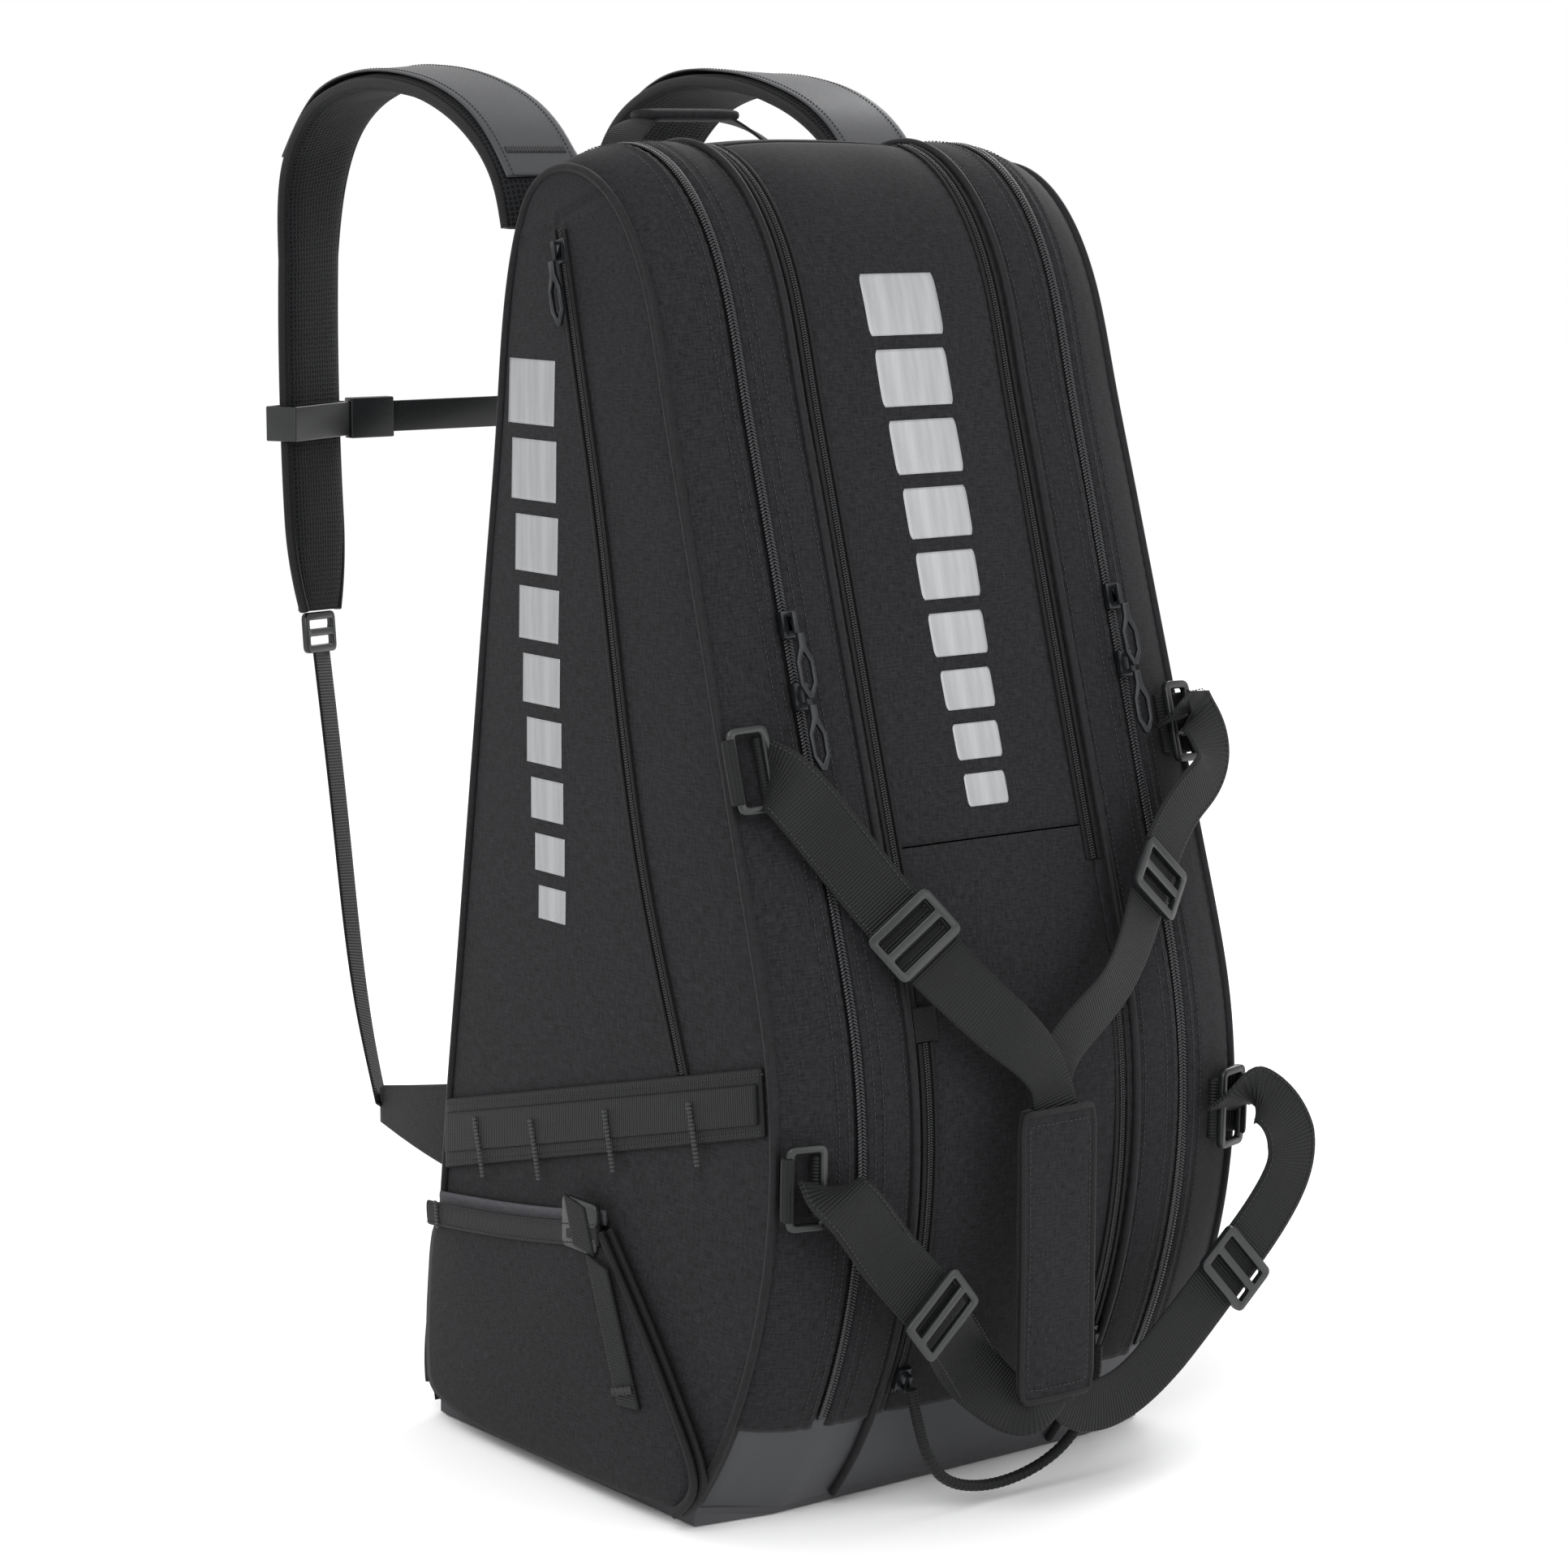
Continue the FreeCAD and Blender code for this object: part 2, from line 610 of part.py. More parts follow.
def grip():
    """Padded wrap round both handles, open at the front, and its flap."""
    x1, x2 = GRIP_X - 24.5, GRIP_X + 24.5
    y0 = GRIP_Y
    out = [(x1, y0 + 8), (x1, y0 - 4.2), (x1 + 4, y0 - 4.2), (x1 + 4, y0 + 4), (x2 - 4, y0 + 4),
           (x2 - 4, y0 - 4.2), (x2, y0 - 4.2), (x2, y0 + 8)]
    plate("grip_wrap", [out], GRIP_HIGH - GRIP_LOW, PLACE(V(0, 0, GRIP_LOW), ROT()))
    flap = rounded(x2 - x1 + 2, GRIP_HIGH - GRIP_LOW - 6, 8, (x1 + x2) / 2 + 1, (GRIP_HIGH + GRIP_LOW) / 2)
    plate("grip_flap", [flap], "wall", PLACE(V(0, y0 - 4.6, 0), ROT(V(1, 0, 0), 90)))


# ---------------------------------------------------------------- harness

STRAP = [(64, 724, 0.0), (72, 748, 0.0), (98, 776, 0.0), (150, 800, 0.0), (215, 809, 0.05), (276, 800, 0.15),
         (322, 766, 0.35), (340, 700, 0.6), (342, 620, 0.6), (339, 540, 0.6), (333, 476, 0.6)]


def strap_stations(side, first, last):
    """Stations of a shoulder strap: it leaves the back at the top and turns as it comes down."""
    out = []
    pts = [V(0, y * REACH, z * SPAN) for y, z, _t in STRAP]
    curve = spline(pts)
    for i in range(first, last):
        p = pts[i]
        t = curve.tangent(curve.parameter(p))[0]
        turn = STRAP[i][2]
        facing = V(0, -t.z, t.y) * (1 - turn) + V(side, 1.2, 0) * turn
        out.append((V(side * (D["strap_x"] - 4 * turn), p.y, p.z), unit(facing)))
    return out


def straps():
    """Padded shoulder straps with their trims, locks and webbing."""
    half = D["strap_thick"] / 2
    for name, side in SIDES:
        path = strap_stations(side, 0, len(STRAP))
        feature("strap_" + name, ribbon(path, D["strap_width"], D["strap_thick"], 0.0, 3))
        feature("strap_patch_" + name, ribbon(path[1:7], D["strap_width"] - 4, 1.4, half + 0.7, 3))
        tip, facing = path[-1]
        top = tip + V(0, -1, -14)
        daisy = ribbon(path[6:], 25, 1.8, half + 0.9, 3)
        tail = ribbon([(top + V(0, 5, -12), V(0, 1, -0.1)), (V(side * 124, 322 * REACH, 360 * SPAN), V(0, 1, -0.2)),
                       (V(side * 122, 301 * REACH, 262 * SPAN), V(0, 1, -0.2))], 22, 1.8)
        feature("strap_trim_" + name, [daisy, tail])
        place = frame_at(top, V(0, 0.1, 1), facing)
        slots = [rounded(36, 26, 4), rounded(27, 5.5, 1.0, 0, 5.2), rounded(27, 5.5, 1.0, 0, -5.2)]
        plate("strap_lock_" + name, slots, "bar_thick", place)
        hang = [(top + V(0, 1.4, -15), V(0, 1, -0.1)), (V(side * 126, 312 * REACH, 340 * SPAN), V(0, 1, -0.2)),
                (V(side * 132, 276 * REACH, 215 * SPAN), V(0, 1, -0.3)),
                (V(side * 137, 254 * REACH, 178 * SPAN), V(0, 1, -0.6))]
        feature("strap_web_" + name, ribbon(hang, 22, 1.8))


def wings():
    """Triangular tabs low on the back that take the strap webbing."""
    pair = []
    for _name, side in SIDES:
        low = on_shell(side * 158, 150 * SPAN, 0.0, True)[0]
        high = on_shell(side * 158, 208 * SPAN, 0.0, True)[0]
        tip = V(side * 138, 250 * REACH, 168 * SPAN)
        pts = [low, high, tip + V(0, 0, 11), tip + V(0, 0, -11)]
        across = unit((high - low).cross(tip - low)) * 3.0
        solids = []
        for i, j, k in ((0, 1, 2), (0, 2, 3)):
            solids.append(Part.Face(Part.makePolygon([pts[i], pts[j], pts[k], pts[i]])).extrude(across))
        pair.append(solids[0].fuse(solids[1]).removeSplitter())
    feature("wings", pair)


def keeper(side, z):
    """Sleeve round a shoulder strap."""
    p, facing = strap_stations(side, 8, 9)[0]
    width, depth = D["strap_width"] + 8, D["strap_thick"] + 9
    sleeve = Part.makeBox(width, 22, depth, V(-width / 2, -11, -depth / 2))
    sleeve = sleeve.cut(Part.makeBox(width - 4.4, 24, depth - 3.2, V(2.2 - width / 2, -12, 1.6 - depth / 2)))
    sleeve.Placement = frame_at(V(p.x, p.y - 1, z) + facing * 0.9, V(0, 0, 1), facing)
    return sleeve


def sternum():
    """Chest strap in two halves that meet in a release buckle."""
    z = 0.775 * H
    x = D["strap_x"]
    y = strap_stations(-1, 8, 9)[0][0].y + 10
    socket = Part.makeBox(32, 9, 26, V(-x + 36, y - 6, z - 13))
    socket = socket.cut(Part.makeBox(24, 5, 20, V(-x + 45, y - 4, z - 10)))
    feature("sternum_left", [keeper(-1, z), socket])
    plug = Part.makeBox(22, 4, 18, V(-x + 46, y - 3.5, z - 9))
    web = Part.makeBox(2 * x - 104.5, 1.8, 20, V(-x + 68.5, y - 2.4, z - 10))
    feature("sternum_right", [keeper(1, z), plug.fuse(web).removeSplitter()])


def haul():
    """Top handle behind the ridge: webbing bow with a padded grip."""
    foot = on_shell(0, 714 * SPAN, 2.6, True)[0].y
    pts = [(-60, foot, 712), (-62, foot + 12, 742), (-56, foot + 30, 770), (-30, foot + 42, 786)]
    faces = [V(0, 1, 0.1), V(-0.5, 1, 0.2), V(-0.8, 0.6, 0.8), V(-0.1, 0.2, 1)]
    stations = [(V(x, y, z * SPAN), f) for (x, y, z), f in zip(pts, faces)]
    stations += [(V(-p.x, p.y, p.z), V(-f.x, f.y, f.z)) for p, f in stations[::-1]]
    web = ribbon(stations, 24, 2.4)
    pad = Part.makeBox(64, 30, 6, V(-32, foot + 27, 786 * SPAN + 2.6))
    feature("haul_handle", [web, pad])


def strap_ring():
    """Ring on the left strap's webbing."""
    p, facing = strap_stations(-1, 7, 8)[0]
    place = frame_at(p + facing * (D["strap_thick"] / 2 + 5.4), V(0, 0.1, 1), facing)
    plate("strap_ring", [rounded(24, 32, 9), rounded(17, 25, 6)], "tab_thick", place)


def pull_loop():
    """Two sliders on the lower zips joined by a pull."""
    height = BAND + 24
    pair = []
    for _name, side in SIDES:
        p, n = on_shell(side * CZIP, height, 2.2)
        along = on_shell(0, height + 4)[0] - on_shell(0, height - 4)[0]
        shape = slider_shape(0.9)
        shape.Placement = frame_at(p, along, n)
        pair.append(shape)
    feature("lower_sliders", pair)
    y = on_shell(0, height, 16.0)[0].y
    pts = [(-CZIP, y, height - 6), (-64, y - 2, 52), (-46, y + 2, 24), (-20, y + 5, 12), (20, y + 5, 12),
           (46, y + 2, 24), (64, y - 2, 52), (CZIP, y, height - 6)]
    feature("pull_loop", cord([V(*p) for p in pts], 3.2))


def graphics():
    """Plain silver bars printed down the centre panel and the left side."""
    bars = []
    z = 0.905
    for i in range(9):
        high = 0.044 - 0.0026 * i
        a, b = share_at((z - high) * H), share_at(z * H)
        bars.append(strip(-27 + 1.5 * i, 27 - 1.5 * i, a, b, 0.0, 0.5, 6))
        z -= high + 0.010
    feature("front_graphic", bars)
    members = []
    top = 650.0
    for i in range(9):
        high = 37.0 - 2.2 * i
        y = (29 - 0.085 * (650 - top)) * REACH
        w = (25 - 1.4 * i)
        outline = [(y - w, (top - high) * SPAN), (y + w, (top - high - 6) * SPAN), (y + w, (top - 6) * SPAN),
                   (y - w, top * SPAN)]
        members.append(side_plate("side_bar_%d" % i, -1, outline, 0.0, 0.5, False))
        top -= high + 8.5
    group("side_graphic", members)


def build():
    """Everything, in order."""
    shell()
    base_tray()
    back_panel()
    covers()
    pipings()
    zips()
    sliders()
    side_webbing()
    lower_pocket()
    rings()
    handles()
    grip()
    straps()
    wings()
    sternum()
    haul()
    strap_ring()
    pull_loop()
    graphics()


def save():
    """Check every object, then write one file per piece."""
    doc.recompute()
    for obj in doc.Objects:
        bad = [s for s in obj.State if s in ("Invalid", "Error")]
        if bad:
            raise RuntimeError("%s is %s" % (obj.Label, bad))
    os.makedirs("parts", exist_ok=True)
    for label in sorted(PARTS):
        shape = PARTS[label].Shape
        if shape.isNull() or not shape.isValid() or shape.Volume <= 0:
            raise RuntimeError("bad shape: " + label)
        shape.exportStep("parts/%s.step" % label)
        box = shape.BoundBox
        size = (box.XMin, box.XMax, box.YMin, box.YMax, box.ZMin, box.ZMax)
        print(label, len(shape.Solids), round(shape.Volume), [round(v) for v in size])


build()
save()
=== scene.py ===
"""Racket tournament bag: soft goods, seams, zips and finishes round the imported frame, laid out as an add-on.

Lengths inside the shape functions are millimetres; a mesh is written in metres. +Z is up, the zipped front
faces -Y and the backpack harness is on +Y. A share runs from 0 at the front foot over the top to 1 at the
back foot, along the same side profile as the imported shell.
"""

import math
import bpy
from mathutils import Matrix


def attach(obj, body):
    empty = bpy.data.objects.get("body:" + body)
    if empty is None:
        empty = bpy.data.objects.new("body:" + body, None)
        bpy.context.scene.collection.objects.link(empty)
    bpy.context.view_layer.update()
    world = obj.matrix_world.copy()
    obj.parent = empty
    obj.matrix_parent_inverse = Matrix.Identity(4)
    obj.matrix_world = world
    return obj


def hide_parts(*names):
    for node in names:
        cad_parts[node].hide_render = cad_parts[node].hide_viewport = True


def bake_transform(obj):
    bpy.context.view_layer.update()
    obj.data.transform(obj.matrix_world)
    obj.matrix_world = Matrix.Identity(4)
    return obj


bl_info = {
    "name": "Racket tournament bag",
    "version": (1, 0, 0),
    "blender": (4, 5, 0),
    "location": "View3D > Sidebar > Bag",
    "description": "Builds the cloth, zips, webbing and harness of a standing racket bag",
    "category": "Add Mesh",
}

import bmesh
import bpy
import numpy as np

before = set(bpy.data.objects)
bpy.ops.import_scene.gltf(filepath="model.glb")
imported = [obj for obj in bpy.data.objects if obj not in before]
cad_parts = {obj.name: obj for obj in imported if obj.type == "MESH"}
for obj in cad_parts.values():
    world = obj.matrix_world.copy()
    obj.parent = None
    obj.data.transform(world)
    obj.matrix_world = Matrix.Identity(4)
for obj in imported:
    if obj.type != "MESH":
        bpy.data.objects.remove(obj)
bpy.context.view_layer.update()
RNG = np.random.default_rng(11)

# ------------------------------------------------------------------ the bag's sizes, in millimetres

HEIGHT = 770.0
DEPTH = 290.0
HALF = 172.0
LEAN = math.tan(math.radians(0.9))
ZIP_X = 119.0
CENTRE_X = 70.0
PIPING_X = 82.0
SET_BACK = 13.0
BAND = 62.0
TOP_BACK_Z = 0.950 * HEIGHT
RIDGE_Z = 0.9985 * HEIGHT
RING_HEIGHTS = (435.8, 213.3)
RING_X = 157.0
ARC_R = 350.0
ARC_Z = 222.0
ARC_Y = -0.4745 * DEPTH + math.sqrt(ARC_R**2 - ARC_Z**2)
FLAP_Z = 0.5 * HEIGHT
WEB = 38.0
GRIP_X, GRIP_Y, GRIP_LOW, GRIP_HIGH = -5.0, ARC_Y - ARC_R - 30.0, 76.0, 241.0
SIDES = (("left", -1), ("right", 1))


# ------------------------------------------------------------------ curves and frames

def unit(v):
    """Each vector divided by its length."""
    return v / np.maximum(np.linalg.norm(v, axis=-1, keepdims=True), 1e-9)


def spline_through(points):
    """Cubic spline through points: between two knots the value is the straight mix of both, plus each knot's
    second derivative times the cube of its weight less the weight. Knots are spaced by chord length."""
    points = np.asarray(points, float)
    count = len(points)
    t = np.concatenate([[0.0], np.cumsum(np.linalg.norm(np.diff(points, axis=0), axis=1))])
    t /= t[-1]
    h = np.diff(t)
    matrix = np.eye(count)
    right = np.zeros_like(points)
    i = np.arange(1, count - 1)
    matrix[i, i - 1], matrix[i, i], matrix[i, i + 1] = h[:-1], 2 * (h[:-1] + h[1:]), h[1:]
    right[1:-1] = 6 * np.diff(np.diff(points, axis=0) / h[:, None], axis=0)
    bend = np.linalg.solve(matrix, right)

    def at(share):
        share = np.clip(np.asarray(share, float), 0.0, 1.0)
        k = np.clip(np.searchsorted(t, share, side="right") - 1, 0, count - 2)
        a = ((t[k + 1] - share) / h[k])[..., None]
        b = 1 - a
        curve = ((a**3 - a) * bend[k] + (b**3 - b) * bend[k + 1]) * (h[k] ** 2)[..., None] / 6
        return a * points[k] + b * points[k + 1] + curve

    at.knots = t
    return at


def slope(curve, share, step=1e-4):
    """Unit tangent of a curve by central difference."""
    share = np.clip(np.asarray(share, float), step, 1 - step)
    return unit(curve(share + step) - curve(share - step))


def outline_points():
    """The side profile as (y, z): one arc, a straight leaning back, a rounded top, a straight back."""
    lean = math.radians(16.27)
    arc_top = ARC_Z + ARC_R * math.sin(lean)
    z = arc_top * np.arange(11) / 10.0
    low = np.stack([ARC_Y - np.sqrt(ARC_R**2 - (z - ARC_Z) ** 2), z], -1)
    high = 0.896 * HEIGHT
    stop = low[-1] + np.array([(high - arc_top) * math.tan(lean), high - arc_top])
    shift = stop[0] + 0.328 * DEPTH
    straight = np.linspace(low[-1], stop, 8)[1:]
    top = np.array([(0.948, -0.255), (0.981, -0.166), (0.996, -0.083), (1.0, 0.0), (0.993, 0.083),
                    (0.974, 0.150), (0.945, 0.192)])
    top = np.stack([top[:, 1] * DEPTH + shift * np.maximum(0, -top[:, 1]) / 0.328, top[:, 0] * HEIGHT], -1)
    back = np.concatenate([np.linspace((0.905, 0.224), (0.026, 0.526), 9), [(0.006, 0.515)]])
    back = np.stack([back[:, 1] * DEPTH, back[:, 0] * HEIGHT], -1)
    return np.concatenate([low, straight, top, back])


OUTLINE = spline_through(outline_points())
TABLE = np.linspace(0, 1, 4001)
TABLE_YZ = OUTLINE(TABLE)
PEAK = int(np.argmax(TABLE_YZ[:, 1]))


def profile(share):
    """Point and outward normal of the side profile."""
    t = slope(OUTLINE, share)
    return OUTLINE(share), np.stack([-t[..., 1], t[..., 0]], -1)


def share_at(z, back=False):
    """The share at which the profile passes a height."""
    if back:
        return np.interp(-np.asarray(z, float), -TABLE_YZ[PEAK:, 1], TABLE[PEAK:])
    return np.interp(z, TABLE_YZ[: PEAK + 1, 1], TABLE[: PEAK + 1])


def side_edge(z):
    """Half-width of the bag at a height: the side panels lean in."""
    return HALF - np.asarray(z, float) * LEAN


def turn_back(x, z):
    """The outer bands fall back from the main zip to the corner seam, in proportion to the way across."""
    way = (np.abs(x) - ZIP_X) / (side_edge(z) - ZIP_X)
    return -SET_BACK * np.clip(way, 0.0, 1.1)


def shell(x, share, lift=0.0):
    """Point and outward normal on the bare shell: the profile pushed along its normal."""
    x, share, lift = np.broadcast_arrays(np.asarray(x, float), share, lift)
    p, n = profile(share)
    push = lift + turn_back(x, p[..., 1])
    point = np.stack([x, p[..., 0] + push * n[..., 0], p[..., 1] + push * n[..., 1]], -1)
    return point, np.stack([np.zeros_like(x), n[..., 0], n[..., 1]], -1)


FOLD_WAVES = RNG.normal(0, 1, (9, 3)) * np.array([0.035, 0.022, 0.028])
FOLD_PHASE = RNG.uniform(0, 6.28, 9)


def folds(p, depth=0.42):
    """Slack in the cloth: nine long sine waves in space, added."""
    return depth * np.sin(p @ FOLD_WAVES.T + FOLD_PHASE).sum(-1) / 2.2


def crown(x, share):
    """How far each panel swells between its two seams: its height times one less the cube of the distance
    from its middle."""
    x, share = np.broadcast_arrays(np.asarray(x, float), share)
    z = profile(share)[0][..., 1]
    edge = side_edge(z)
    a = np.abs(x)
    low = np.select([a < CENTRE_X, a < PIPING_X, a < ZIP_X], [-CENTRE_X, CENTRE_X, PIPING_X], ZIP_X)
    high = np.select([a < CENTRE_X, a < PIPING_X, a < ZIP_X], [CENTRE_X, PIPING_X, ZIP_X], edge)
    tall = np.select([a < CENTRE_X, a < PIPING_X, a < ZIP_X], [3.0, 0.2, 1.8], 3.4)
    t = np.where(a < CENTRE_X, (x - low) / (high - low), (a - low) / (high - low))
    return tall * np.clip(1 - np.abs(2 * t - 1) ** 3, 0, 1)


def skin(x, share, lift=0.0):
    """Point and normal on the sewn skin: shell, panel crown and slack."""
    bare = shell(x, share)[0]
    return shell(x, share, lift + crown(x, share) + folds(bare))


FRONT_YZ = TABLE_YZ[: PEAK + 1]
BACK_YZ = TABLE_YZ[PEAK:]


def side_bulge(y, z):
    """Swell of a side panel: highest in the middle, nothing at the seams."""
    yf = np.interp(z, FRONT_YZ[:, 1], FRONT_YZ[:, 0]) + SET_BACK
    yb = np.interp(-np.asarray(z, float), -BACK_YZ[:, 1], BACK_YZ[:, 0]) - SET_BACK
    u = np.clip((y - yf) / np.maximum(yb - yf, 1.0), 0, 1)
    ends = np.clip((HEIGHT - 8 - z) / 150.0, 0, 1) ** 0.5 * np.clip((z - 4) / 70.0, 0, 1) ** 0.5
    return 5.0 * (4 * u * (1 - u)) ** 0.7 * ends


def side_point(side, y, z, lift=0.0):
    """Point and normal on a side panel."""
    y, z, lift = np.broadcast_arrays(np.asarray(y, float), np.asarray(z, float), lift)
    flat = np.stack([side * side_edge(z), y, z], -1)
    x = side * (side_edge(z) + side_bulge(y, z) + 0.8 * folds(flat) + lift)
    dy = (side_bulge(y + 2, z) - side_bulge(y - 2, z)) / 4
    dz = (side_bulge(y, z + 2) - side_bulge(y, z - 2)) / 4 - LEAN
    return np.stack([x, y, z], -1), unit(np.stack([side * np.ones_like(x), -dy, -dz], -1))


# ------------------------------------------------------------------ meshes

def new_piece(name, points, faces, uv=None, smooth=True, outward=True):
    """A mesh object at the origin from points in millimetres; uv is one pair per point, in metres."""
    mesh = bpy.data.meshes.new(name)
    mesh.from_pydata((np.asarray(points, float).reshape(-1, 3) * 0.001).tolist(), [],
                     [list(map(int, f)) for f in faces])
    if uv is not None:
        loops = np.empty(len(mesh.loops), dtype=np.int32)
        mesh.loops.foreach_get("vertex_index", loops)
        layer = mesh.uv_layers.new(name="Cloth")
        layer.data.foreach_set("uv", np.asarray(uv, np.float32).reshape(-1, 2)[loops].ravel())
    if outward:
        work = bmesh.new()
        work.from_mesh(mesh)
        bmesh.ops.recalc_face_normals(work, faces=work.faces)
        work.to_mesh(mesh)
        work.free()
    mesh.polygons.foreach_set("use_smooth", np.full(len(mesh.polygons), smooth))
    mesh.update()
    piece = bpy.data.objects.new(name, mesh)
    bpy.context.scene.collection.objects.link(piece)
    return piece


def grid_faces(rows, cols, wrap=False, start=0):
    """Quads of a grid, closed across the columns when wrap is set."""
    r, c = np.meshgrid(np.arange(rows - 1), np.arange(cols if wrap else cols - 1), indexing="ij")
    nxt = (c + 1) % cols
    quads = np.stack([r * cols + c, r * cols + nxt, (r + 1) * cols + nxt, (r + 1) * cols + c], -1)
    return (quads.reshape(-1, 4) + start).tolist()


def closed_sheet(outer, normal, thick):
    """A thick panel: an outer grid, the same grid pushed in by the thickness, round edges and end caps."""
    rows, cols = outer.shape[:2]
    inner = outer - normal * thick
    right = (outer[:, -1] + inner[:, -1]) / 2 + unit(outer[:, -1] - outer[:, -2]) * thick * 0.4
    left = (outer[:, 0] + inner[:, 0]) / 2 + unit(outer[:, 0] - outer[:, 1]) * thick * 0.4
    ring = np.concatenate([outer, right[:, None], inner[:, ::-1], left[:, None]], axis=1)
    across = np.linalg.norm(np.diff(outer, axis=1), axis=-1).mean(0)
    u = np.concatenate([[0], np.cumsum(across)])
    u = np.concatenate([u, [u[-1] + 1], u[::-1], [-1]])
    along = np.linalg.norm(np.diff(outer[:, cols // 2], axis=0), axis=-1)
    v = np.concatenate([[0], np.cumsum(along)])
    uv = np.stack(np.meshgrid(u, v), -1) * 0.001
    wide = 2 * cols + 2
    faces = grid_faces(rows, wide, True)
    for base in (0, (rows - 1) * wide):
        faces += [[base + j, base + j + 1, base + 2 * cols - j - 1, base + 2 * cols - j]
                  for j in range(cols - 1)]
        faces += [[base + cols - 1, base + cols, base + cols + 1],
                  [base, base + 2 * cols, base + 2 * cols + 1]]
    return ring.reshape(-1, 3), faces, uv.reshape(-1, 2)


def sweep(path, across, out, section, closed=False):
    """A profile carried along a path: each point is the path plus the profile's first number across and its
    second number out. The profile may change along the path. Ends are capped unless the path is closed."""
    path = np.asarray(path, float)
    section = np.asarray(section, float)
    if section.ndim == 2:
        section = np.broadcast_to(section, (len(path),) + section.shape)
    across, out = (np.broadcast_to(v, path.shape) for v in (across, out))
    ring = path[:, None] + section[..., :1] * across[:, None] + section[..., 1:] * out[:, None]
    rows, cols = ring.shape[:2]
    u = np.concatenate([[0], np.cumsum(np.linalg.norm(np.diff(section[0], axis=0), axis=-1))])
    v = np.concatenate([[0], np.cumsum(np.linalg.norm(np.diff(path, axis=0), axis=-1))])
    uv = np.stack(np.meshgrid(u, v), -1).reshape(-1, 2) * 0.001
    points = ring.reshape(-1, 3)
    faces = grid_faces(rows, cols, True)
    if closed:
        last = (rows - 1) * cols
        faces += [[last + j, last + (j + 1) % cols, (j + 1) % cols, j] for j in range(cols)]
        return points, faces, uv
    for base, middle in ((0, ring[0].mean(0)), ((rows - 1) * cols, ring[-1].mean(0))):
        centre = len(points)
        points = np.concatenate([points, [middle]])
        uv = np.concatenate([uv, [uv[base]]])
        faces += [[base + j, base + (j + 1) % cols, centre] for j in range(cols)]
    return points, faces, uv


def merged(parts):
    """Several (points, faces, uv) as one."""
    points, faces, uvs, start = [], [], [], 0
    for p, f, uv in parts:
        points.append(p)
        uvs.append(uv if uv is not None else np.zeros((len(p), 2)))
        faces += [[start + i for i in face] for face in f]
        start += len(p)
    return np.concatenate(points), faces, np.concatenate(uvs)


def oval(width, thick, count=16, square=2.0):
    """A closed profile: cosine and sine, each raised to two over the squareness."""
    a = np.linspace(0, 2 * math.pi, count, endpoint=False)
    power = 2.0 / square
    c, s = np.cos(a), np.sin(a)
    return np.stack([np.sign(c) * np.abs(c) ** power * width / 2,
                     np.sign(s) * np.abs(s) ** power * thick / 2], -1)


def scatter(template, faces, origins, across, along, out):
    """Copies of a small template: its x, y and z go across, along and out at each origin."""
    template = np.asarray(template, float)
    points = (origins[:, None] + template[None, :, :1] * across[:, None] + template[None, :, 1:2] * along[:,
        None]
              + template[None, :, 2:] * out[:, None])
    count = len(template)
    every = [[k * count + i for i in face] for k in range(len(origins)) for face in faces]
    return points.reshape(-1, 3), every, np.zeros((points.size // 3, 2))


def bead(length, width, tall, turn=0.0):
    """A low-faced capsule lying along y, turned in its plane: three six-sided rings and two tips."""
    a = np.linspace(0, 2 * math.pi, 6, endpoint=False)
    rings = [(-0.36, 0.75), (0.0, 1.0), (0.36, 0.75)]
    pts = [(0, -length / 2, 0)]
    pts += [(math.cos(t) * width / 2 * k, y * length, math.sin(t) * tall / 2 * k) for y, k in rings
            for t in a]
    pts += [(0, length / 2, 0)]
    pts = np.array(pts)
    c, s = math.cos(turn), math.sin(turn)
    pts = np.stack([c * pts[:, 0] - s * pts[:, 1], s * pts[:, 0] + c * pts[:, 1], pts[:, 2]], -1)
    faces = [[0, 1 + (j + 1) % 6, 1 + j] for j in range(6)] + [[19, 13 + j, 13 + (j + 1) % 6]
                                                               for j in range(6)]
    faces += [[1 + 6 * r + j, 1 + 6 * r + (j + 1) % 6, 7 + 6 * r + (j + 1) % 6, 7 + 6 * r + j]
              for r in range(2) for j in range(6)]
    return pts, faces


STITCH = bead(2.4, 0.8, 0.6)


def even(points, step):
    """Points respaced evenly along their own line; returns points and the shares they came from."""
    points = np.asarray(points, float)
    d = np.concatenate([[0], np.cumsum(np.linalg.norm(np.diff(points, axis=0), axis=-1))])
    at = np.arange(step / 2, d[-1], step)
    return np.stack([np.interp(at, d, points[:, k]) for k in range(3)], -1), at / d[-1]


def row_of(template, faces, path, out, step):
    """A template repeated along a path that lies on a surface with the given normals."""
    origins, share = even(path, step)
    grid = np.linspace(0, 1, len(path))
    normal = unit(np.stack([np.interp(share, grid, np.broadcast_to(out, np.shape(path))[:, k])
                            for k in range(3)], -1))
    along = unit(np.gradient(origins, axis=0))
    across = unit(np.cross(along, normal))
    return scatter(template, faces, origins, across, along, normal)


def place(piece, body, material, nodes=()):
    """Rides a piece on a body and finish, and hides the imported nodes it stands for."""
    piece.data.materials.append(MATERIALS[material])
    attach(piece, body)
    if nodes:
        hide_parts(*nodes)
    return piece


def build(name, parts, body, material, nodes=(), smooth=True):
    """One piece out of one or several (points, faces, uv)."""
    points, faces, uv = merged(parts if isinstance(parts, list) else [parts])
    return place(new_piece(name, points, faces, uv, smooth), body, material, nodes)


# ------------------------------------------------------------------ finishes

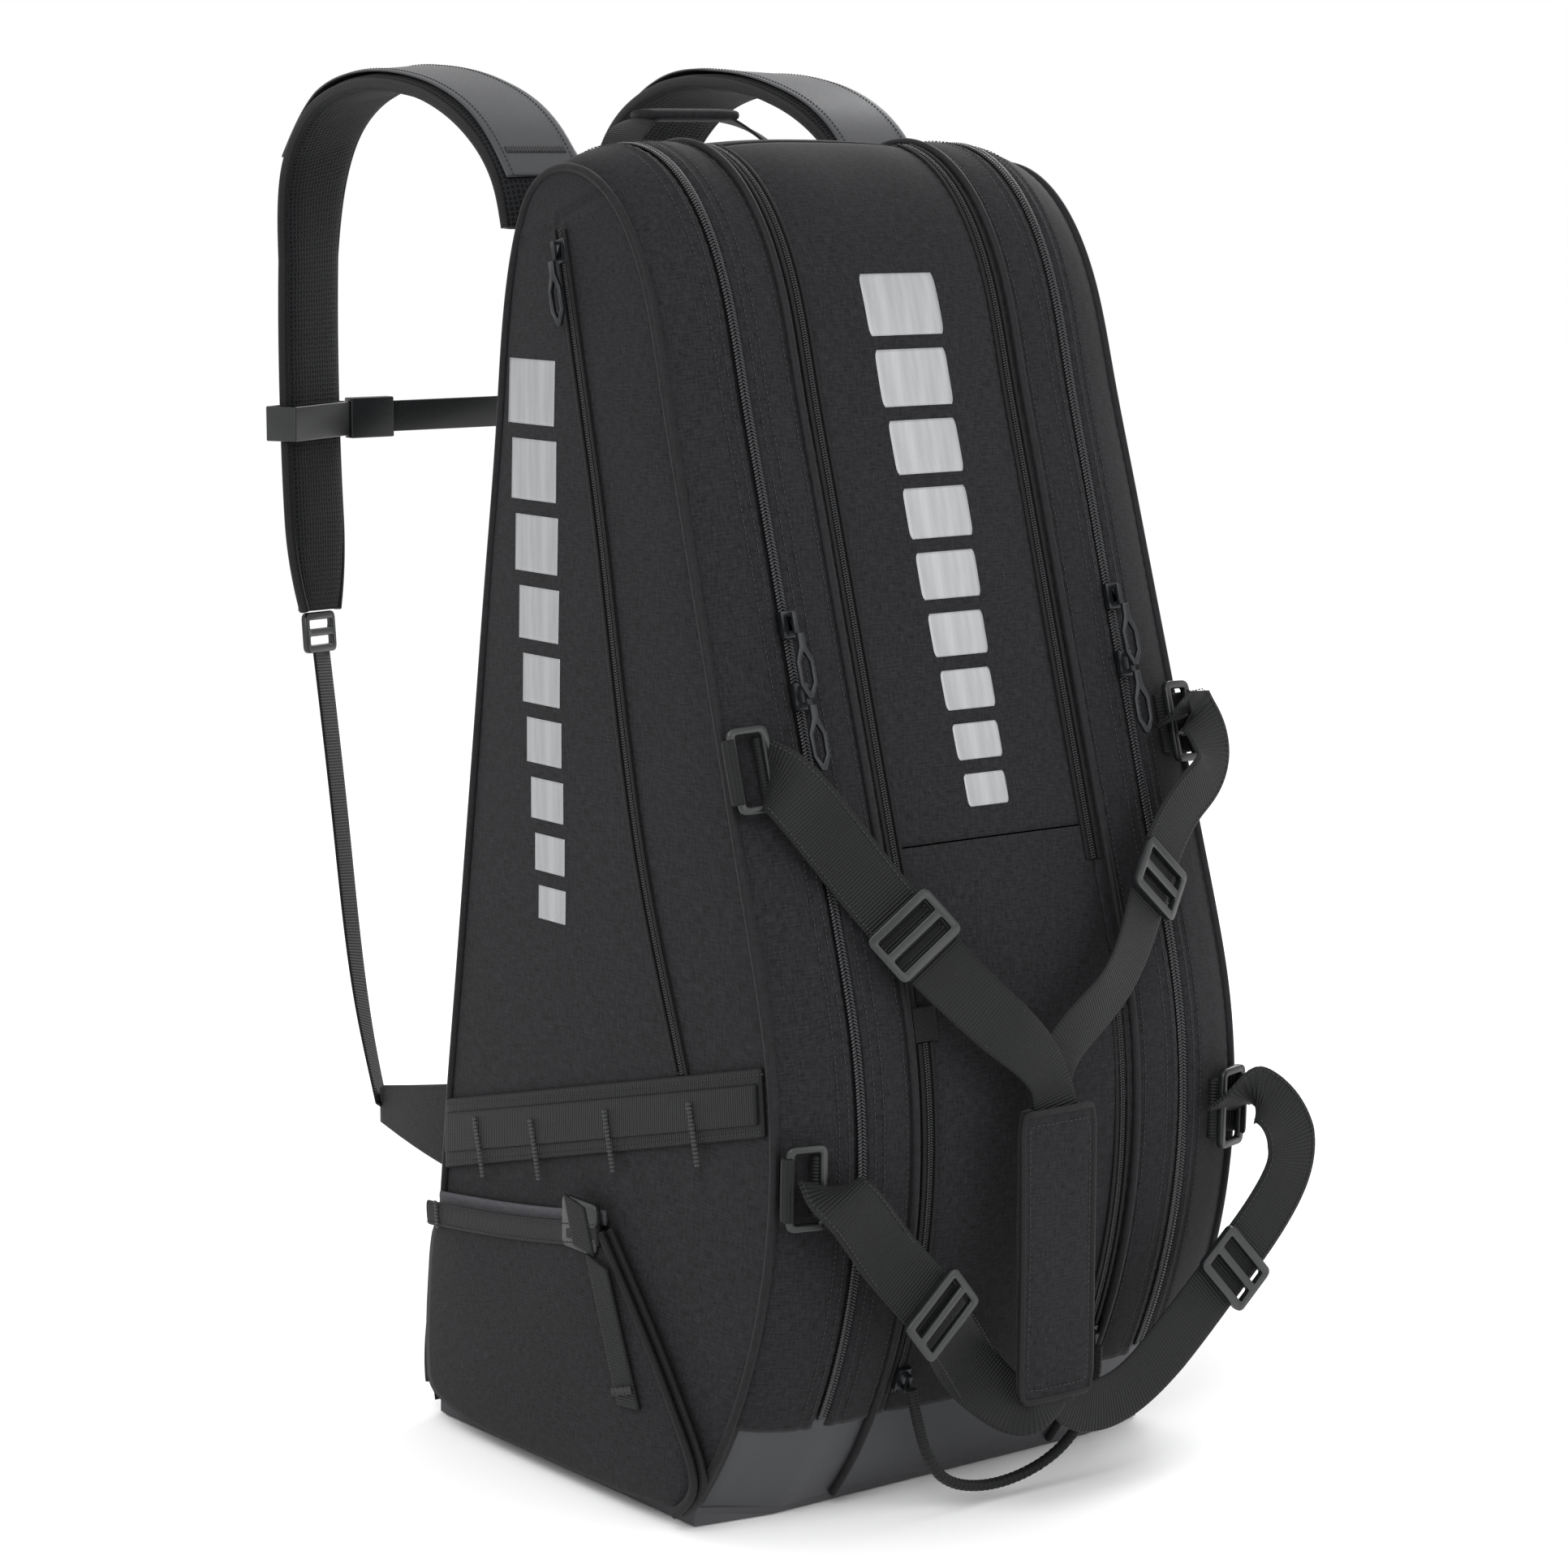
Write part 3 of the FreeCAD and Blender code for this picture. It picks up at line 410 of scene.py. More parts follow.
def linear(code):
    """An sRGB hex value as a linear colour."""
    parts = [int(code[i : i + 2], 16) / 255 for i in (1, 3, 5)]
    return [c / 12.92 if c <= 0.04045 else ((c + 0.055) / 1.055) ** 2.4 for c in parts] + [1.0]


def add(tree, kind, links=(), **settings):
    """Adds a node: settings are its properties, or input values as in_ and a number; links feed inputs."""
    node = tree.nodes.new(kind)
    for key, value in settings.items():
        if key.startswith("in_"):
            node.inputs[int(key[3:])].default_value = value
        else:
            setattr(node, key, value)
    for target, source in links:
        tree.links.new(source, node.inputs[target])
    return node


def start(name, code, rough, spec=0.5, sheen=0.0, metal=0.0):
    """A new material, its tree and its shader, with colour, roughness, specular, sheen and metal set."""
    material = bpy.data.materials.new(name)
    material.use_nodes = True
    tree = material.node_tree
    shader = tree.nodes["Principled BSDF"]
    shader.inputs["Base Color"].default_value = linear(code)
    shader.inputs["Roughness"].default_value = rough
    shader.inputs["Specular IOR Level"].default_value = spec
    shader.inputs["Metallic"].default_value = metal
    if sheen:
        shader.inputs["Sheen Weight"].default_value = sheen
        shader.inputs["Sheen Roughness"].default_value = 0.45
    return material, tree, shader


def tint(tree, shader, factor, dark, light):
    """Base colour between two hex values by a factor."""
    mix = add(tree, "ShaderNodeMix", [(0, factor)], data_type="RGBA")
    mix.inputs[6].default_value, mix.inputs[7].default_value = linear(dark), linear(light)
    tree.links.new(mix.outputs[2], shader.inputs["Base Color"])


def raised(tree, shader, height, strength, distance):
    """Bump from a height."""
    bump = add(tree, "ShaderNodeBump", [("Height", height)])
    bump.inputs["Strength"].default_value, bump.inputs["Distance"].default_value = strength, distance
    tree.links.new(bump.outputs[0], shader.inputs["Normal"])


def threads(tree, coords, across_mm, along_mm):
    """Two sets of sine threads at right angles, returned as two waves; their product peaks where both ride
    high.
    """
    split = add(tree, "ShaderNodeSeparateXYZ", [(0, coords)])
    waves = []
    for axis, pitch in ((0, across_mm), (1, along_mm)):
        turn = add(tree, "ShaderNodeMath", [(0, split.outputs[axis])], operation="MULTIPLY",
                   in_1=6283.2 / pitch)
        waves.append(add(tree, "ShaderNodeMath", [(0, turn.outputs[0])], operation="SINE").outputs[0])
    return waves


def slubs(tree, coords, scale):
    """Uneven yarn: noise drawn out along one direction. scale is repeats per metre on each axis."""
    stretch = add(tree, "ShaderNodeMapping", [(0, coords)])
    stretch.inputs["Scale"].default_value = scale
    return add(tree, "ShaderNodeTexNoise", [(0, stretch.outputs[0])], in_2=1.0, in_3=3.0).outputs[0]


def cloth(name, dark, light, rough, weave, bump, sheen=0.05, spec=0.16, uv=True, slub=(900, 160)):
    """Woven synthetic cloth: heather from yarns of two directions, and the rise of the threads."""
    material, tree, shader = start(name, dark, rough, spec, sheen)
    coords = add(tree, "ShaderNodeTexCoord").outputs["UV" if uv else "Object"]
    warp = slubs(tree, coords, (slub[0], slub[1], slub[0]))
    weft = slubs(tree, coords, (slub[1], slub[0], slub[0]))
    both = add(tree, "ShaderNodeMath", [(0, warp), (1, weft)], operation="ADD").outputs[0]
    cloud = slubs(tree, coords, (14, 14, 14))
    cloud = add(tree, "ShaderNodeMath", [(0, cloud)], operation="MULTIPLY", in_1=0.16).outputs[0]
    wide = add(tree, "ShaderNodeMath", [(0, both), (1, cloud)], operation="ADD").outputs[0]
    spread = add(tree, "ShaderNodeMapRange", [(0, wide)], in_1=0.78, in_2=1.42).outputs[0]
    tint(tree, shader, spread, dark, light)
    x, y = threads(tree, coords, weave, weave)
    rise = add(tree, "ShaderNodeMath", [(0, x), (1, y)], operation="MULTIPLY").outputs[0]
    rise = add(tree, "ShaderNodeMath", [(0, rise), (1, both)], operation="ADD").outputs[0]
    raised(tree, shader, rise, bump, 0.0003)
    return material


def ribbed(name, dark, light, rib):
    """Nylon webbing: weft ribs across its width, a fine crease between ribs, and a painted highlight on the
    rib crests with painted shade in the grooves, made uneven by noise.
    """
    material, tree, shader = start(name, dark, 0.58, 0.22, 0.02)
    coords = add(tree, "ShaderNodeTexCoord").outputs["UV"]
    x, y = threads(tree, coords, 2.2, rib)
    step = add(tree, "ShaderNodeMapRange", [(0, y)], in_1=-1.0, in_2=1.0).outputs[0]
    soft = slubs(tree, coords, (70, 400, 70))
    # painted light and shade: the base colour is lighter on the rib crests and darker in the grooves between
    # them, unevenly by noise
    painted_rib_light_and_shade = add(tree, "ShaderNodeMath", [(0, step), (1, soft)], operation="MULTIPLY").outputs[0]
    tint(tree, shader, painted_rib_light_and_shade, dark, light)
    fine = add(tree, "ShaderNodeMath", [(0, x)], operation="MULTIPLY", in_1=0.18).outputs[0]
    rise = add(tree, "ShaderNodeMath", [(0, y), (1, fine)], operation="ADD").outputs[0]
    raised(tree, shader, rise, 0.55, 0.0005)
    return material


def mesh_cloth(name, dark, light):
    """Spacer mesh: open hexagon-like cells of 3 mm, with painted shade in the holes."""
    material, tree, shader = start(name, dark, 0.85, 0.15, 0.05)
    coords = add(tree, "ShaderNodeTexCoord").outputs["UV"]
    cell = add(tree, "ShaderNodeTexVoronoi", [(0, coords)], feature="DISTANCE_TO_EDGE")
    cell.inputs["Scale"].default_value = 330.0
    cell.inputs["Randomness"].default_value = 0.25
    net_height_and_hole_shade = add(tree, "ShaderNodeMapRange", [(0, cell.outputs[0])], in_1=0.05, in_2=0.28, in_3=1.0, in_4=0.0)
    # painted shade: the base colour darkens towards the middle of each cell, where the holes are; the same
    # mask raises the net
    tint(tree, shader, net_height_and_hole_shade.outputs[0], dark, light)
    raised(tree, shader, net_height_and_hole_shade.outputs[0], 0.7, 0.0008)
    return material


def coated(name, dark, light):
    """Polyurethane-coated polyester: smooth, a soft broad sheen, faint pebble and slow wear."""
    material, tree, shader = start(name, dark, 0.46, 0.5)
    coords = add(tree, "ShaderNodeTexCoord").outputs["Object"]
    cloud = slubs(tree, coords, (9, 9, 9))
    tint(tree, shader, cloud, dark, light)
    pebble = slubs(tree, coords, (900, 900, 900))
    rough = add(tree, "ShaderNodeMapRange", [(0, pebble)], in_1=0.3, in_2=0.7, in_3=0.40, in_4=0.52)
    tree.links.new(rough.outputs[0], shader.inputs["Roughness"])
    raised(tree, shader, pebble, 0.12, 0.0003)
    return material


def hard(name, dark, light, rough, metal=0.0, grain=500.0, bump=0.06):
    """Moulded or lacquered hardware: fine grain, tone worn a little on the high spots."""
    material, tree, shader = start(name, dark, rough, 0.5, 0.0, metal)
    coords = add(tree, "ShaderNodeTexCoord").outputs["Object"]
    grains = slubs(tree, coords, (grain, grain, grain))
    tint(tree, shader, grains, dark, light)
    level = add(tree, "ShaderNodeMapRange", [(0, grains)], in_3=rough - 0.06, in_4=rough + 0.08)
    tree.links.new(level.outputs[0], shader.inputs["Roughness"])
    raised(tree, shader, grains, bump, 0.0002)
    return material


def silver(name):
    """Screen-printed aluminium ink over the weave: long soft streaks of painted sheen, the threads still
    showing through.
    """
    material, tree, shader = start(name, "#a9aaac", 0.42, 0.5, 0.0, 0.55)
    coords = add(tree, "ShaderNodeTexCoord").outputs["UV"]
    painted_sheen_streak = slubs(tree, coords, (120, 12, 60))
    # painted sheen: long soft lighter and darker streaks in the base colour stand in for a brushed-looking
    # sheen
    tint(tree, shader, painted_sheen_streak, "#77787a", "#b4b5b6")
    x, y = threads(tree, coords, 1.1, 1.1)
    rise = add(tree, "ShaderNodeMath", [(0, x), (1, y)], operation="MULTIPLY").outputs[0]
    raised(tree, shader, rise, 0.12, 0.0002)
    return material


MATERIALS = {}


def make_finishes(colours):
    """Every finish of the bag by its plain name."""
    dark, light = colours.cloth_dark, colours.cloth_light
    MATERIALS.update(
        woven=cloth("Polyester plain weave", dark, light, 0.82, 1.3, 0.16),
        lining=cloth("Polyester lining", "#3a3a3e", "#4c4c50", 0.7, 1.1, 0.1, uv=False),
        padded=cloth("Padded polyester", dark, light, 0.8, 1.3, 0.16),
        binding=ribbed("Grosgrain binding", "#08080a", "#17181a", 1.2),
        webbing=ribbed("Nylon webbing", "#050607", "#141517", 1.9),
        mesh=mesh_cloth("Spacer mesh", "#050506", "#1d1e20"),
        coated=coated("Coated polyester", colours.coated, "#313236"),
        thread=hard("Bonded thread", "#0c0c0e", "#1c1d20", 0.6),
        coil=hard("Nylon zip coil", "#0c0c0e", "#202124", 0.34, 0.0, 300.0),
        tape=ribbed("Zip tape", "#08080a", "#151618", 1.1),
        cordseam=cloth("Piping cloth", "#0a0a0b", "#1a1a1d", 0.6, 0.9, 0.1),
        moulded=hard("Moulded acetal", "#0b0c0d", "#17191a", 0.36, 0.0, 420.0),
        metal=hard("Black lacquered zinc", "#0d0e10", "#1f2124", 0.3, 0.35, 260.0),
        silver=silver("Silver print"),
    )


# ------------------------------------------------------------------ the skin

def panel(name, body, x0, x1, s0, s1, nodes=(), cols=22, rows=150, thick=3.4, material="woven",
          extra=None):
    """A sewn panel: x goes from one seam to the other, spaced by a cosine, and the share from one end to the
    other. Its edges roll under by a millimetre and pucker by a short sine that fades inwards."""
    u = 0.5 - 0.5 * np.cos(np.linspace(0, math.pi, cols))
    s = np.linspace(s0, s1, rows)
    z = profile(s)[0][:, 1]
    low = x0(z) if callable(x0) else np.full(rows, float(x0))
    high = x1(z) if callable(x1) else np.full(rows, float(x1))
    x = low[:, None] + (high - low)[:, None] * u[None]
    grid = np.broadcast_to(s[:, None], x.shape)
    inset = np.minimum(x - low[:, None], high[:, None] - x)
    if (high < low).all():
        inset = -np.maximum(x - low[:, None], high[:, None] - x)
    metres = (s * 2120.0)[:, None]
    pucker = 0.35 * np.exp(-inset / 6.0) * np.sin(metres / 1.35 + 2.0 * np.sin(metres / 17.0) + 0.05 * x)
    rise = 0.9 + pucker - 0.9 * np.exp(-inset / 1.4)
    if extra is not None:
        rise = rise + extra(x, grid)
    point, normal = skin(x, grid, rise)
    return build(name, closed_sheet(point, normal, thick), body, material, nodes)


def groove(x, share, at, width=1.6, deep=0.9):
    """A sewn line sunk into a panel, as a narrow bell."""
    return -deep * np.exp(-(((x - at) / width) ** 2)) + 0 * share


class BAG_OT_skin(bpy.types.Operator):
    """Front, top and centre panels, and the coated foot"""

    bl_idname = "bag.skin"
    bl_label = "Shell panels"

    def execute(self, context):
        foot, ridge = float(share_at(BAND + 0.6)), float(share_at(RIDGE_Z))
        top = float(share_at(TOP_BACK_Z, True))
        flap = float(share_at(FLAP_Z))
        for side_name, side in SIDES:
            def outer(z, side=side):
                return side * (side_edge(z) - 0.6)

            panel("band_" + side_name, "cover_" + side_name, side * (ZIP_X + 4.4), outer, foot, top,
                  cols=26, rows=240, extra=lambda x, s, k=side: groove(x, s, k * (ZIP_X + 12)))
            panel("strip_wide_" + side_name, "bag", side * (ZIP_X - 4.4), side * (PIPING_X + 1.5), foot, top,
                  cols=18, rows=220, extra=lambda x, s, k=side: groove(x, s, k * (ZIP_X - 12)))
            panel("strip_narrow_" + side_name, "bag", side * (PIPING_X - 1.5), side * (CENTRE_X + 3.0), foot,
                  top,
                  cols=8, rows=200)
        panel("panel_low", "bag", -CENTRE_X - 1.5, CENTRE_X + 1.5, foot, flap - 0.0001, ["centre_shell"],
              cols=36,
              rows=90)
        panel("panel_flap", "centre_flap", -CENTRE_X + 2.2, CENTRE_X - 2.2, flap + 0.0005, ridge - 0.001,
              ["centre_flap"], cols=36, rows=120)
        panel("panel_top", "bag", -CENTRE_X - 1.5, CENTRE_X + 1.5, ridge + 0.0006, top, cols=30, rows=24)
        self.foot_band(foot)
        return {"FINISHED"}

    def foot_band(self, foot):
        """Coated band: up the front from a rounded toe, with the shell's own outline."""
        rows, cols = 26, 60
        s = np.linspace(0.004, foot + 0.0035, rows)
        z = profile(s)[0][:, 1]
        x = np.linspace(-1, 1, cols)[None] * (side_edge(z) - 5.4)[:, None]
        lift = 0.5 + 0.5 * np.sin(np.linspace(0, math.pi, rows))[:, None] + 0.0 * x
        point, normal = shell(x, np.broadcast_to(s[:, None], x.shape), lift)
        build("foot_band", closed_sheet(point, normal, 2.2), "bag", "coated")


class BAG_OT_sides(bpy.types.Operator):
    """The two side panels with their seams"""

    bl_idname = "bag.sides"
    bl_label = "Side panels"

    def execute(self, context):
        rows, cols = 150, 70
        t = np.sin(np.linspace(0.0, math.pi / 2, rows))
        front = np.interp(t, [0, 1], [share_at(9.0), TABLE[PEAK] - 0.002])
        back = np.interp(t, [0, 1], [0.992, TABLE[PEAK] + 0.002])
        pf, nf = profile(front)
        pb, nb = profile(back)
        a, b = pf - SET_BACK * nf, pb - (SET_BACK - 0.6) * nb
        u = (0.5 - 0.5 * np.cos(np.linspace(0, math.pi, cols)))[None, :, None]
        yz = a[:, None] * (1 - u) + b[:, None] * u
        for name, side in SIDES:
            y, z = yz[..., 0], yz[..., 1]
            lift = 0.4 + self.seams(y, z, side)
            point, normal = side_point(side, y, z, lift)
            build("side_panel_" + name, closed_sheet(point, normal, 3.4), "cover_" + name, "woven",
                  ["cover_" + name])
        return {"FINISHED"}

    def seams(self, y, z, side):
        """Seam grooves: a bell across each line's distance."""
        lines = [((-65, 184), (-216, 222)), ((130, 178), (-65, 184))]
        if side < 0:
            lines += [((2, 730), (-70, 756)), ((2, 726), (40, 716))]
        lift = np.zeros_like(y)
        for (y0, z0), (y1, z1) in lines:
            d = np.array([y1 - y0, z1 - z0])
            size = np.hypot(*d)
            k = np.clip(((y - y0) * d[0] + (z - z0) * d[1]) / size**2, 0, 1)
            gap = np.hypot(y - y0 - k * d[0], z - z0 - k * d[1])
            lift = lift - 1.0 * np.exp(-((gap / 2.2) ** 2)) + 0.5 * np.exp(-(((gap - 5) / 3.0) ** 2))
        return lift


def shell_line(x, s0, s1, lift, count=260, on_skin=False):
    """Points and normals of a line up the shell at one x, or at an x worked out from the height."""
    s = np.linspace(s0, s1, count)
    z = profile(s)[0][:, 1]
    at = x(z) if callable(x) else np.full(count, float(x))
    return (skin if on_skin else shell)(at, s, lift)


def side_line(side, yz, lift, count=120):
    """Points and normals of a smooth line over a side panel through (y, z) knots."""
    curve = spline_through(np.array(yz, float))
    p = curve(np.linspace(0, 1, count))
    return side_point(side, p[:, 0], p[:, 1], lift)


def run(path, normal, section, closed=False):
    """A profile swept along a line that lies on a surface."""
    along = unit(np.gradient(path, axis=0))
    across = unit(np.cross(along, normal))
    return sweep(path, across, unit(np.cross(across, along)), section, closed)


class BAG_OT_seams(bpy.types.Operator):
    """Piping cords, their flanges and the rows of stitches"""

    bl_idname = "bag.seams"
    bl_label = "Piping and stitches"

    def execute(self, context):
        sizes = context.scene.bag_sizes
        top = float(share_at(TOP_BACK_Z, True))
        foot = float(share_at(BAND + 6))
        cordage = oval(5.4, 5.4, 12)
        flange = oval(9.0, 1.2, 10, 3)
        stitch = bead(sizes.stitch, 0.75, 0.6)
        inner = []
        for name, side in SIDES:
            def edge(z, side=side):
                return side * (side_edge(z) + 0.9)

            line = shell_line(edge, float(share_at(8.0)), 0.992, 1.5, 420)
            cloth_cord = run(*line, cordage)
            wide = run(*shell_line(lambda z, k=side: k * (side_edge(z) - 2.5), float(share_at(8.0)), top, 0.9,
                                   300),
                       flange)
            build("piping_cord_" + name, [cloth_cord, wide], "cover_" + name, "cordseam",
                  ["piping_side_" + name])
            rows = []
            for x, low, high in ((side * (ZIP_X + 8.5), foot, top), (side * (ZIP_X + 14.5), foot, top)):
                rows.append(row_of(*stitch, *shell_line(x, low, high, 1.25, 300, True), sizes.stitch + 0.9))
            build("stitches_band_" + name, rows, "cover_" + name, "thread")
            inner.append(run(*shell_line(side * PIPING_X, 0.006, top, 2.2, 420), cordage))
        build("piping_cords_centre", inner, "bag", "cordseam", ["piping_front"])
        rows = []
        for side in (-1, 1):
            for x in (side * (ZIP_X - 8.5), side * (PIPING_X + 6.0), side * (ZIP_X - 14.5)):
                rows.append(row_of(*stitch, *shell_line(x, foot, top, 1.25, 300, True), sizes.stitch + 0.9))
        build("stitches_centre", rows, "bag", "thread")
        return {"FINISHED"}


def zip_row(path, normal, side, pitch, size):
    """One half of a coil zip: slanted coil turns along the meeting line."""
    tooth = bead(size, size * 0.42, size * 0.5, side * 0.95)
    points = tooth[0] + np.array([side * size * 0.36, 0, 0])
    return row_of(points, tooth[1], path, normal, pitch)


class BAG_OT_zips(bpy.types.Operator):
    """Coil zips: tapes, coils and folded edges"""

    bl_idname = "bag.zips"
    bl_label = "Zips"

    def execute(self, context):
        sizes = context.scene.bag_sizes
        low = float(share_at(BAND + 6))
        top = float(share_at(TOP_BACK_Z, True)) - 0.004
        ridge = float(share_at(RIDGE_Z))
        inner, tapes = [], []
        for name, side in SIDES:
            outer, outer_tape = [], []
            for half, coils, bands in ((1, outer, outer_tape), (-1, inner, tapes)):
                line = shell_line(side * ZIP_X, low, top, 1.5, 500)
                # a coil turn leans away from the middle line, so the two halves make a herringbone
                coils.append(zip_row(*line, -half * side, sizes.coil_pitch, 4.2))
                bands.append(run(*shell_line(side * (ZIP_X + half * 4.0), low, top, 0.3, 300),
                                 oval(8.4, 0.9, 8, 4)))
            build("main_coil_" + name, outer, "cover_" + name, "coil", ["main_zip_" + name])
            build("main_tape_" + name, outer_tape, "cover_" + name, "tape")
            for s0, s1 in ((float(share_at(0.475 * HEIGHT)), ridge),
                           (float(share_at(BAND + 14)), float(share_at(0.365 * HEIGHT)))):
                x = side * (CENTRE_X + 1.4)
                line = shell_line(x, s0, s1, 2.0, 300)
                inner += [zip_row(*line, k, 1.5, 2.4) for k in (-1, 1)]
                tapes.append(run(*shell_line(x, s0, s1, 1.0, 240), oval(11.0, 1.0, 8, 4)))
                for k in (-1, 1):
                    tapes.append(run(*shell_line(x + k * 4.4, s0, s1, 2.0, 240), oval(2.6, 1.8, 8)))
            s0, s1 = float(share_at(0.366 * HEIGHT)), float(share_at(0.39 * HEIGHT))
            tapes.append(run(*shell_line(side * CENTRE_X, s0, s1, 2.2, 12), oval(17, 1.6, 12, 5)))
        build("inner_coils", inner, "bag", "coil", ["zips_inner"])
        build("inner_tapes", tapes, "bag", "tape")
        yz = [(-0.0, 724), (-29, 619), (-57, 502), (-83, 386), (-126, 262)]
        line = side_line(-1, yz, 1.6, 260)
        build("side_coil", [zip_row(*line, k, 1.5, 2.4) for k in (-1, 1)], "cover_left", "coil",
              ["side_zip"])
        bands = [run(*side_line(-1, yz, 0.8, 200), oval(12.0, 1.0, 8, 4))]
        bands += [run(*side_line(-1, [(y + k * 4.8, z) for y, z in yz], 1.9, 200), oval(2.8, 1.8, 8))
                  for k in (-1, 1)]
        build("side_tape", bands, "cover_left", "tape")
        return {"FINISHED"}


def ribbon(points, facing, width, thick, square=5.0, count=16, samples=120, taper=None):
    """A strap through stations: a squared oval carried along a spline, its flat facing the given ways."""
    curve = spline_through(points)
    t = np.linspace(0, 1, samples)
    p, tangent = curve(t), slope(curve, t)
    facing = np.asarray(facing, float)
    if facing.ndim == 1:
        facing = np.broadcast_to(facing, (len(points), 3))
    out = np.stack([np.interp(t, curve.knots, facing[:, k]) for k in range(3)], -1)
    out = unit(out - (out * tangent).sum(-1, keepdims=True) * tangent)
    size = np.ones(samples) if taper is None else np.interp(t, curve.knots, taper)
    spans = np.stack([width * size, thick * np.ones(samples)], -1)
    section = oval(1.0, 1.0, count, square)[None] * spans[:, None]
    return p, unit(np.cross(tangent, out)), out, section


def webbing(points, facing, width, thick=2.0, taper=None, samples=120):
    return sweep(*ribbon(points, facing, width, thick, 5.0, 16, samples, taper))


def stitched(points, facing, width, lift, pitch=3.2, taper=None, samples=160):
    """Rows of stitches just inside both edges of a strap."""
    p, across, out, section = ribbon(points, facing, width, 1.0, 5.0, 16, samples, taper)
    half = np.abs(section[..., 0]).max(-1)[:, None]
    return [row_of(*STITCH, p + across * half * side * 0.86 + out * lift, out, pitch) for side in (-1, 1)]


def bar_tack(centre, across, out, width, count=9):
    """A dense zigzag of thread: short beads side by side."""
    along = np.cross(out, across)
    base = np.asarray(centre, float) + np.linspace(-0.5, 0.5, count)[:, None] * width * across
    rows = np.broadcast_to(along, base.shape)
    return scatter(*bead(5.5, width / count * 1.2, 0.9), base, np.broadcast_to(across, base.shape), rows,
                   np.broadcast_to(out, base.shape))


def soften(name, node, body, material, round_mm=0.8):
    """A bevelled copy of a packed hard part: doubles merged, edges rounded by two segments."""
    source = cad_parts[node]
    mesh = source.data.copy()
    mesh.name = name
    mesh.transform(source.matrix_world)
    mesh.materials.clear()
    work = bmesh.new()
    work.from_mesh(mesh)
    bmesh.ops.remove_doubles(work, verts=work.verts, dist=2e-6)
    bmesh.ops.dissolve_limit(work, angle_limit=0.03, verts=work.verts, edges=work.edges)
    work.to_mesh(mesh)
    work.free()
    mesh.polygons.foreach_set("use_smooth", np.ones(len(mesh.polygons), dtype=bool))
    piece = bpy.data.objects.new(name, mesh)
    bpy.context.scene.collection.objects.link(piece)
    rounding = piece.modifiers.new("Rounded edges", "BEVEL")
    rounding.width, rounding.segments, rounding.limit_method = round_mm * 0.001, 2, "ANGLE"
    rounding.angle_limit = 0.6
    rounding.harden_normals = True
    return place(piece, body, material, [node])


class BAG_OT_hardware(bpy.types.Operator):
    """Rings, buckles, sliders, pulls and adjusters with rounded edges"""

    bl_idname = "bag.hardware"
    bl_label = "Hardware"

    def execute(self, context):
        metal = ["lower_sliders", "slider_side", "pull_side"]
        for level in ("upper", "lower"):
            for side in ("left", "right"):
                metal += [f"slider_{level}_{side}", f"pull_{level}_{side}"]
                node = f"handle_buckle_{level}_{side}"
                soften(node + "_soft", node, node, "moulded", 1.0)
        for node in metal:
            soften(node + "_soft", node, node, "metal", 0.45)
        for side in ("left", "right"):
            soften(f"rings_{side}_soft", f"rings_{side}", f"cover_{side}", "moulded", 1.2)
            soften(f"strap_lock_{side}_soft", f"strap_lock_{side}", f"strap_{side}", "moulded",
                   0.8)
            soften(f"sternum_{side}_soft", f"sternum_{side}", f"sternum_{side}", "moulded", 0.8)
        soften("pocket_buckle_soft", "pocket_buckle", "cover_left", "moulded", 0.8)
        soften("strap_ring_soft", "strap_ring", "strap_ring", "moulded", 0.8)
        return {"FINISHED"}


def grip_line(side):
    """The upper and lower half of one handle web as stations: point, facing and width share."""
    y = GRIP_Y + 1.35 * side
    lean, front = (0, -1, -0.25), (0, -1, 0)
    grip = [((-5, y, 237), front, 0.85), ((-5, y, 158.5), front, 0.85), ((-5, y, 70), front, 0.85)]
    if side < 0:
        upper = [((-148, -187, 429.8), (-0.3, -1, -0.3), 0.95), ((-122, -198, 396), lean, 1),
                 ((-83, -216, 343), lean, 1), ((-42, -248.5, 291), lean, 0.9), ((-11, y, 259), front, 0.75)]
        lower = [((-147, -238, 209.3), front, 0.95), ((-122, -241, 178), front, 1),
                 ((-88, -245, 138), front, 1),
                 ((-46, -230.5, 90), front, 1), ((-20, y - 1, 71), front, 0.78),
                 ((-4, y, 80), front, 0.7)]
    else:
        upper = [((152, -184, 443.8), (0.3, -1, -0.3), 0.9), ((158, -197, 418), (0.2, -1, -0.2), 1),
                 ((137, -203, 398), lean, 1), ((97, -214, 355), lean, 1), ((44, -236.2, 298), lean, 0.9),
                 ((-5, y, 259), front, 0.75)]
        lower = [((160, -240, 223.3), (0.3, -1, 0), 0.9), ((176, -250, 198), front, 1),
                 ((166, -248, 162), front, 1),
                 ((134, -244, 126), front, 1), ((88, -243, 86), front, 1), ((40, -243, 62), front, 0.85),
                 ((15, y + 2, 66), front, 0.75), ((0, y, 80), front, 0.66)]
    return upper + grip, lower


def ring_bar(side, z):
    """Middle of a side ring's inner bar, the way out of the ring and the way along its bar."""
    base, normal = shell(side * RING_X, float(share_at(z)), 9.0)
    up = unit(np.cross(normal, np.array([1.0, 0, 0])))
    return (base + np.array([-side, 0, 0]) * 9.6, unit(normal + np.array([side * 0.25, 0, 0])),
            up * np.sign(up[2]))


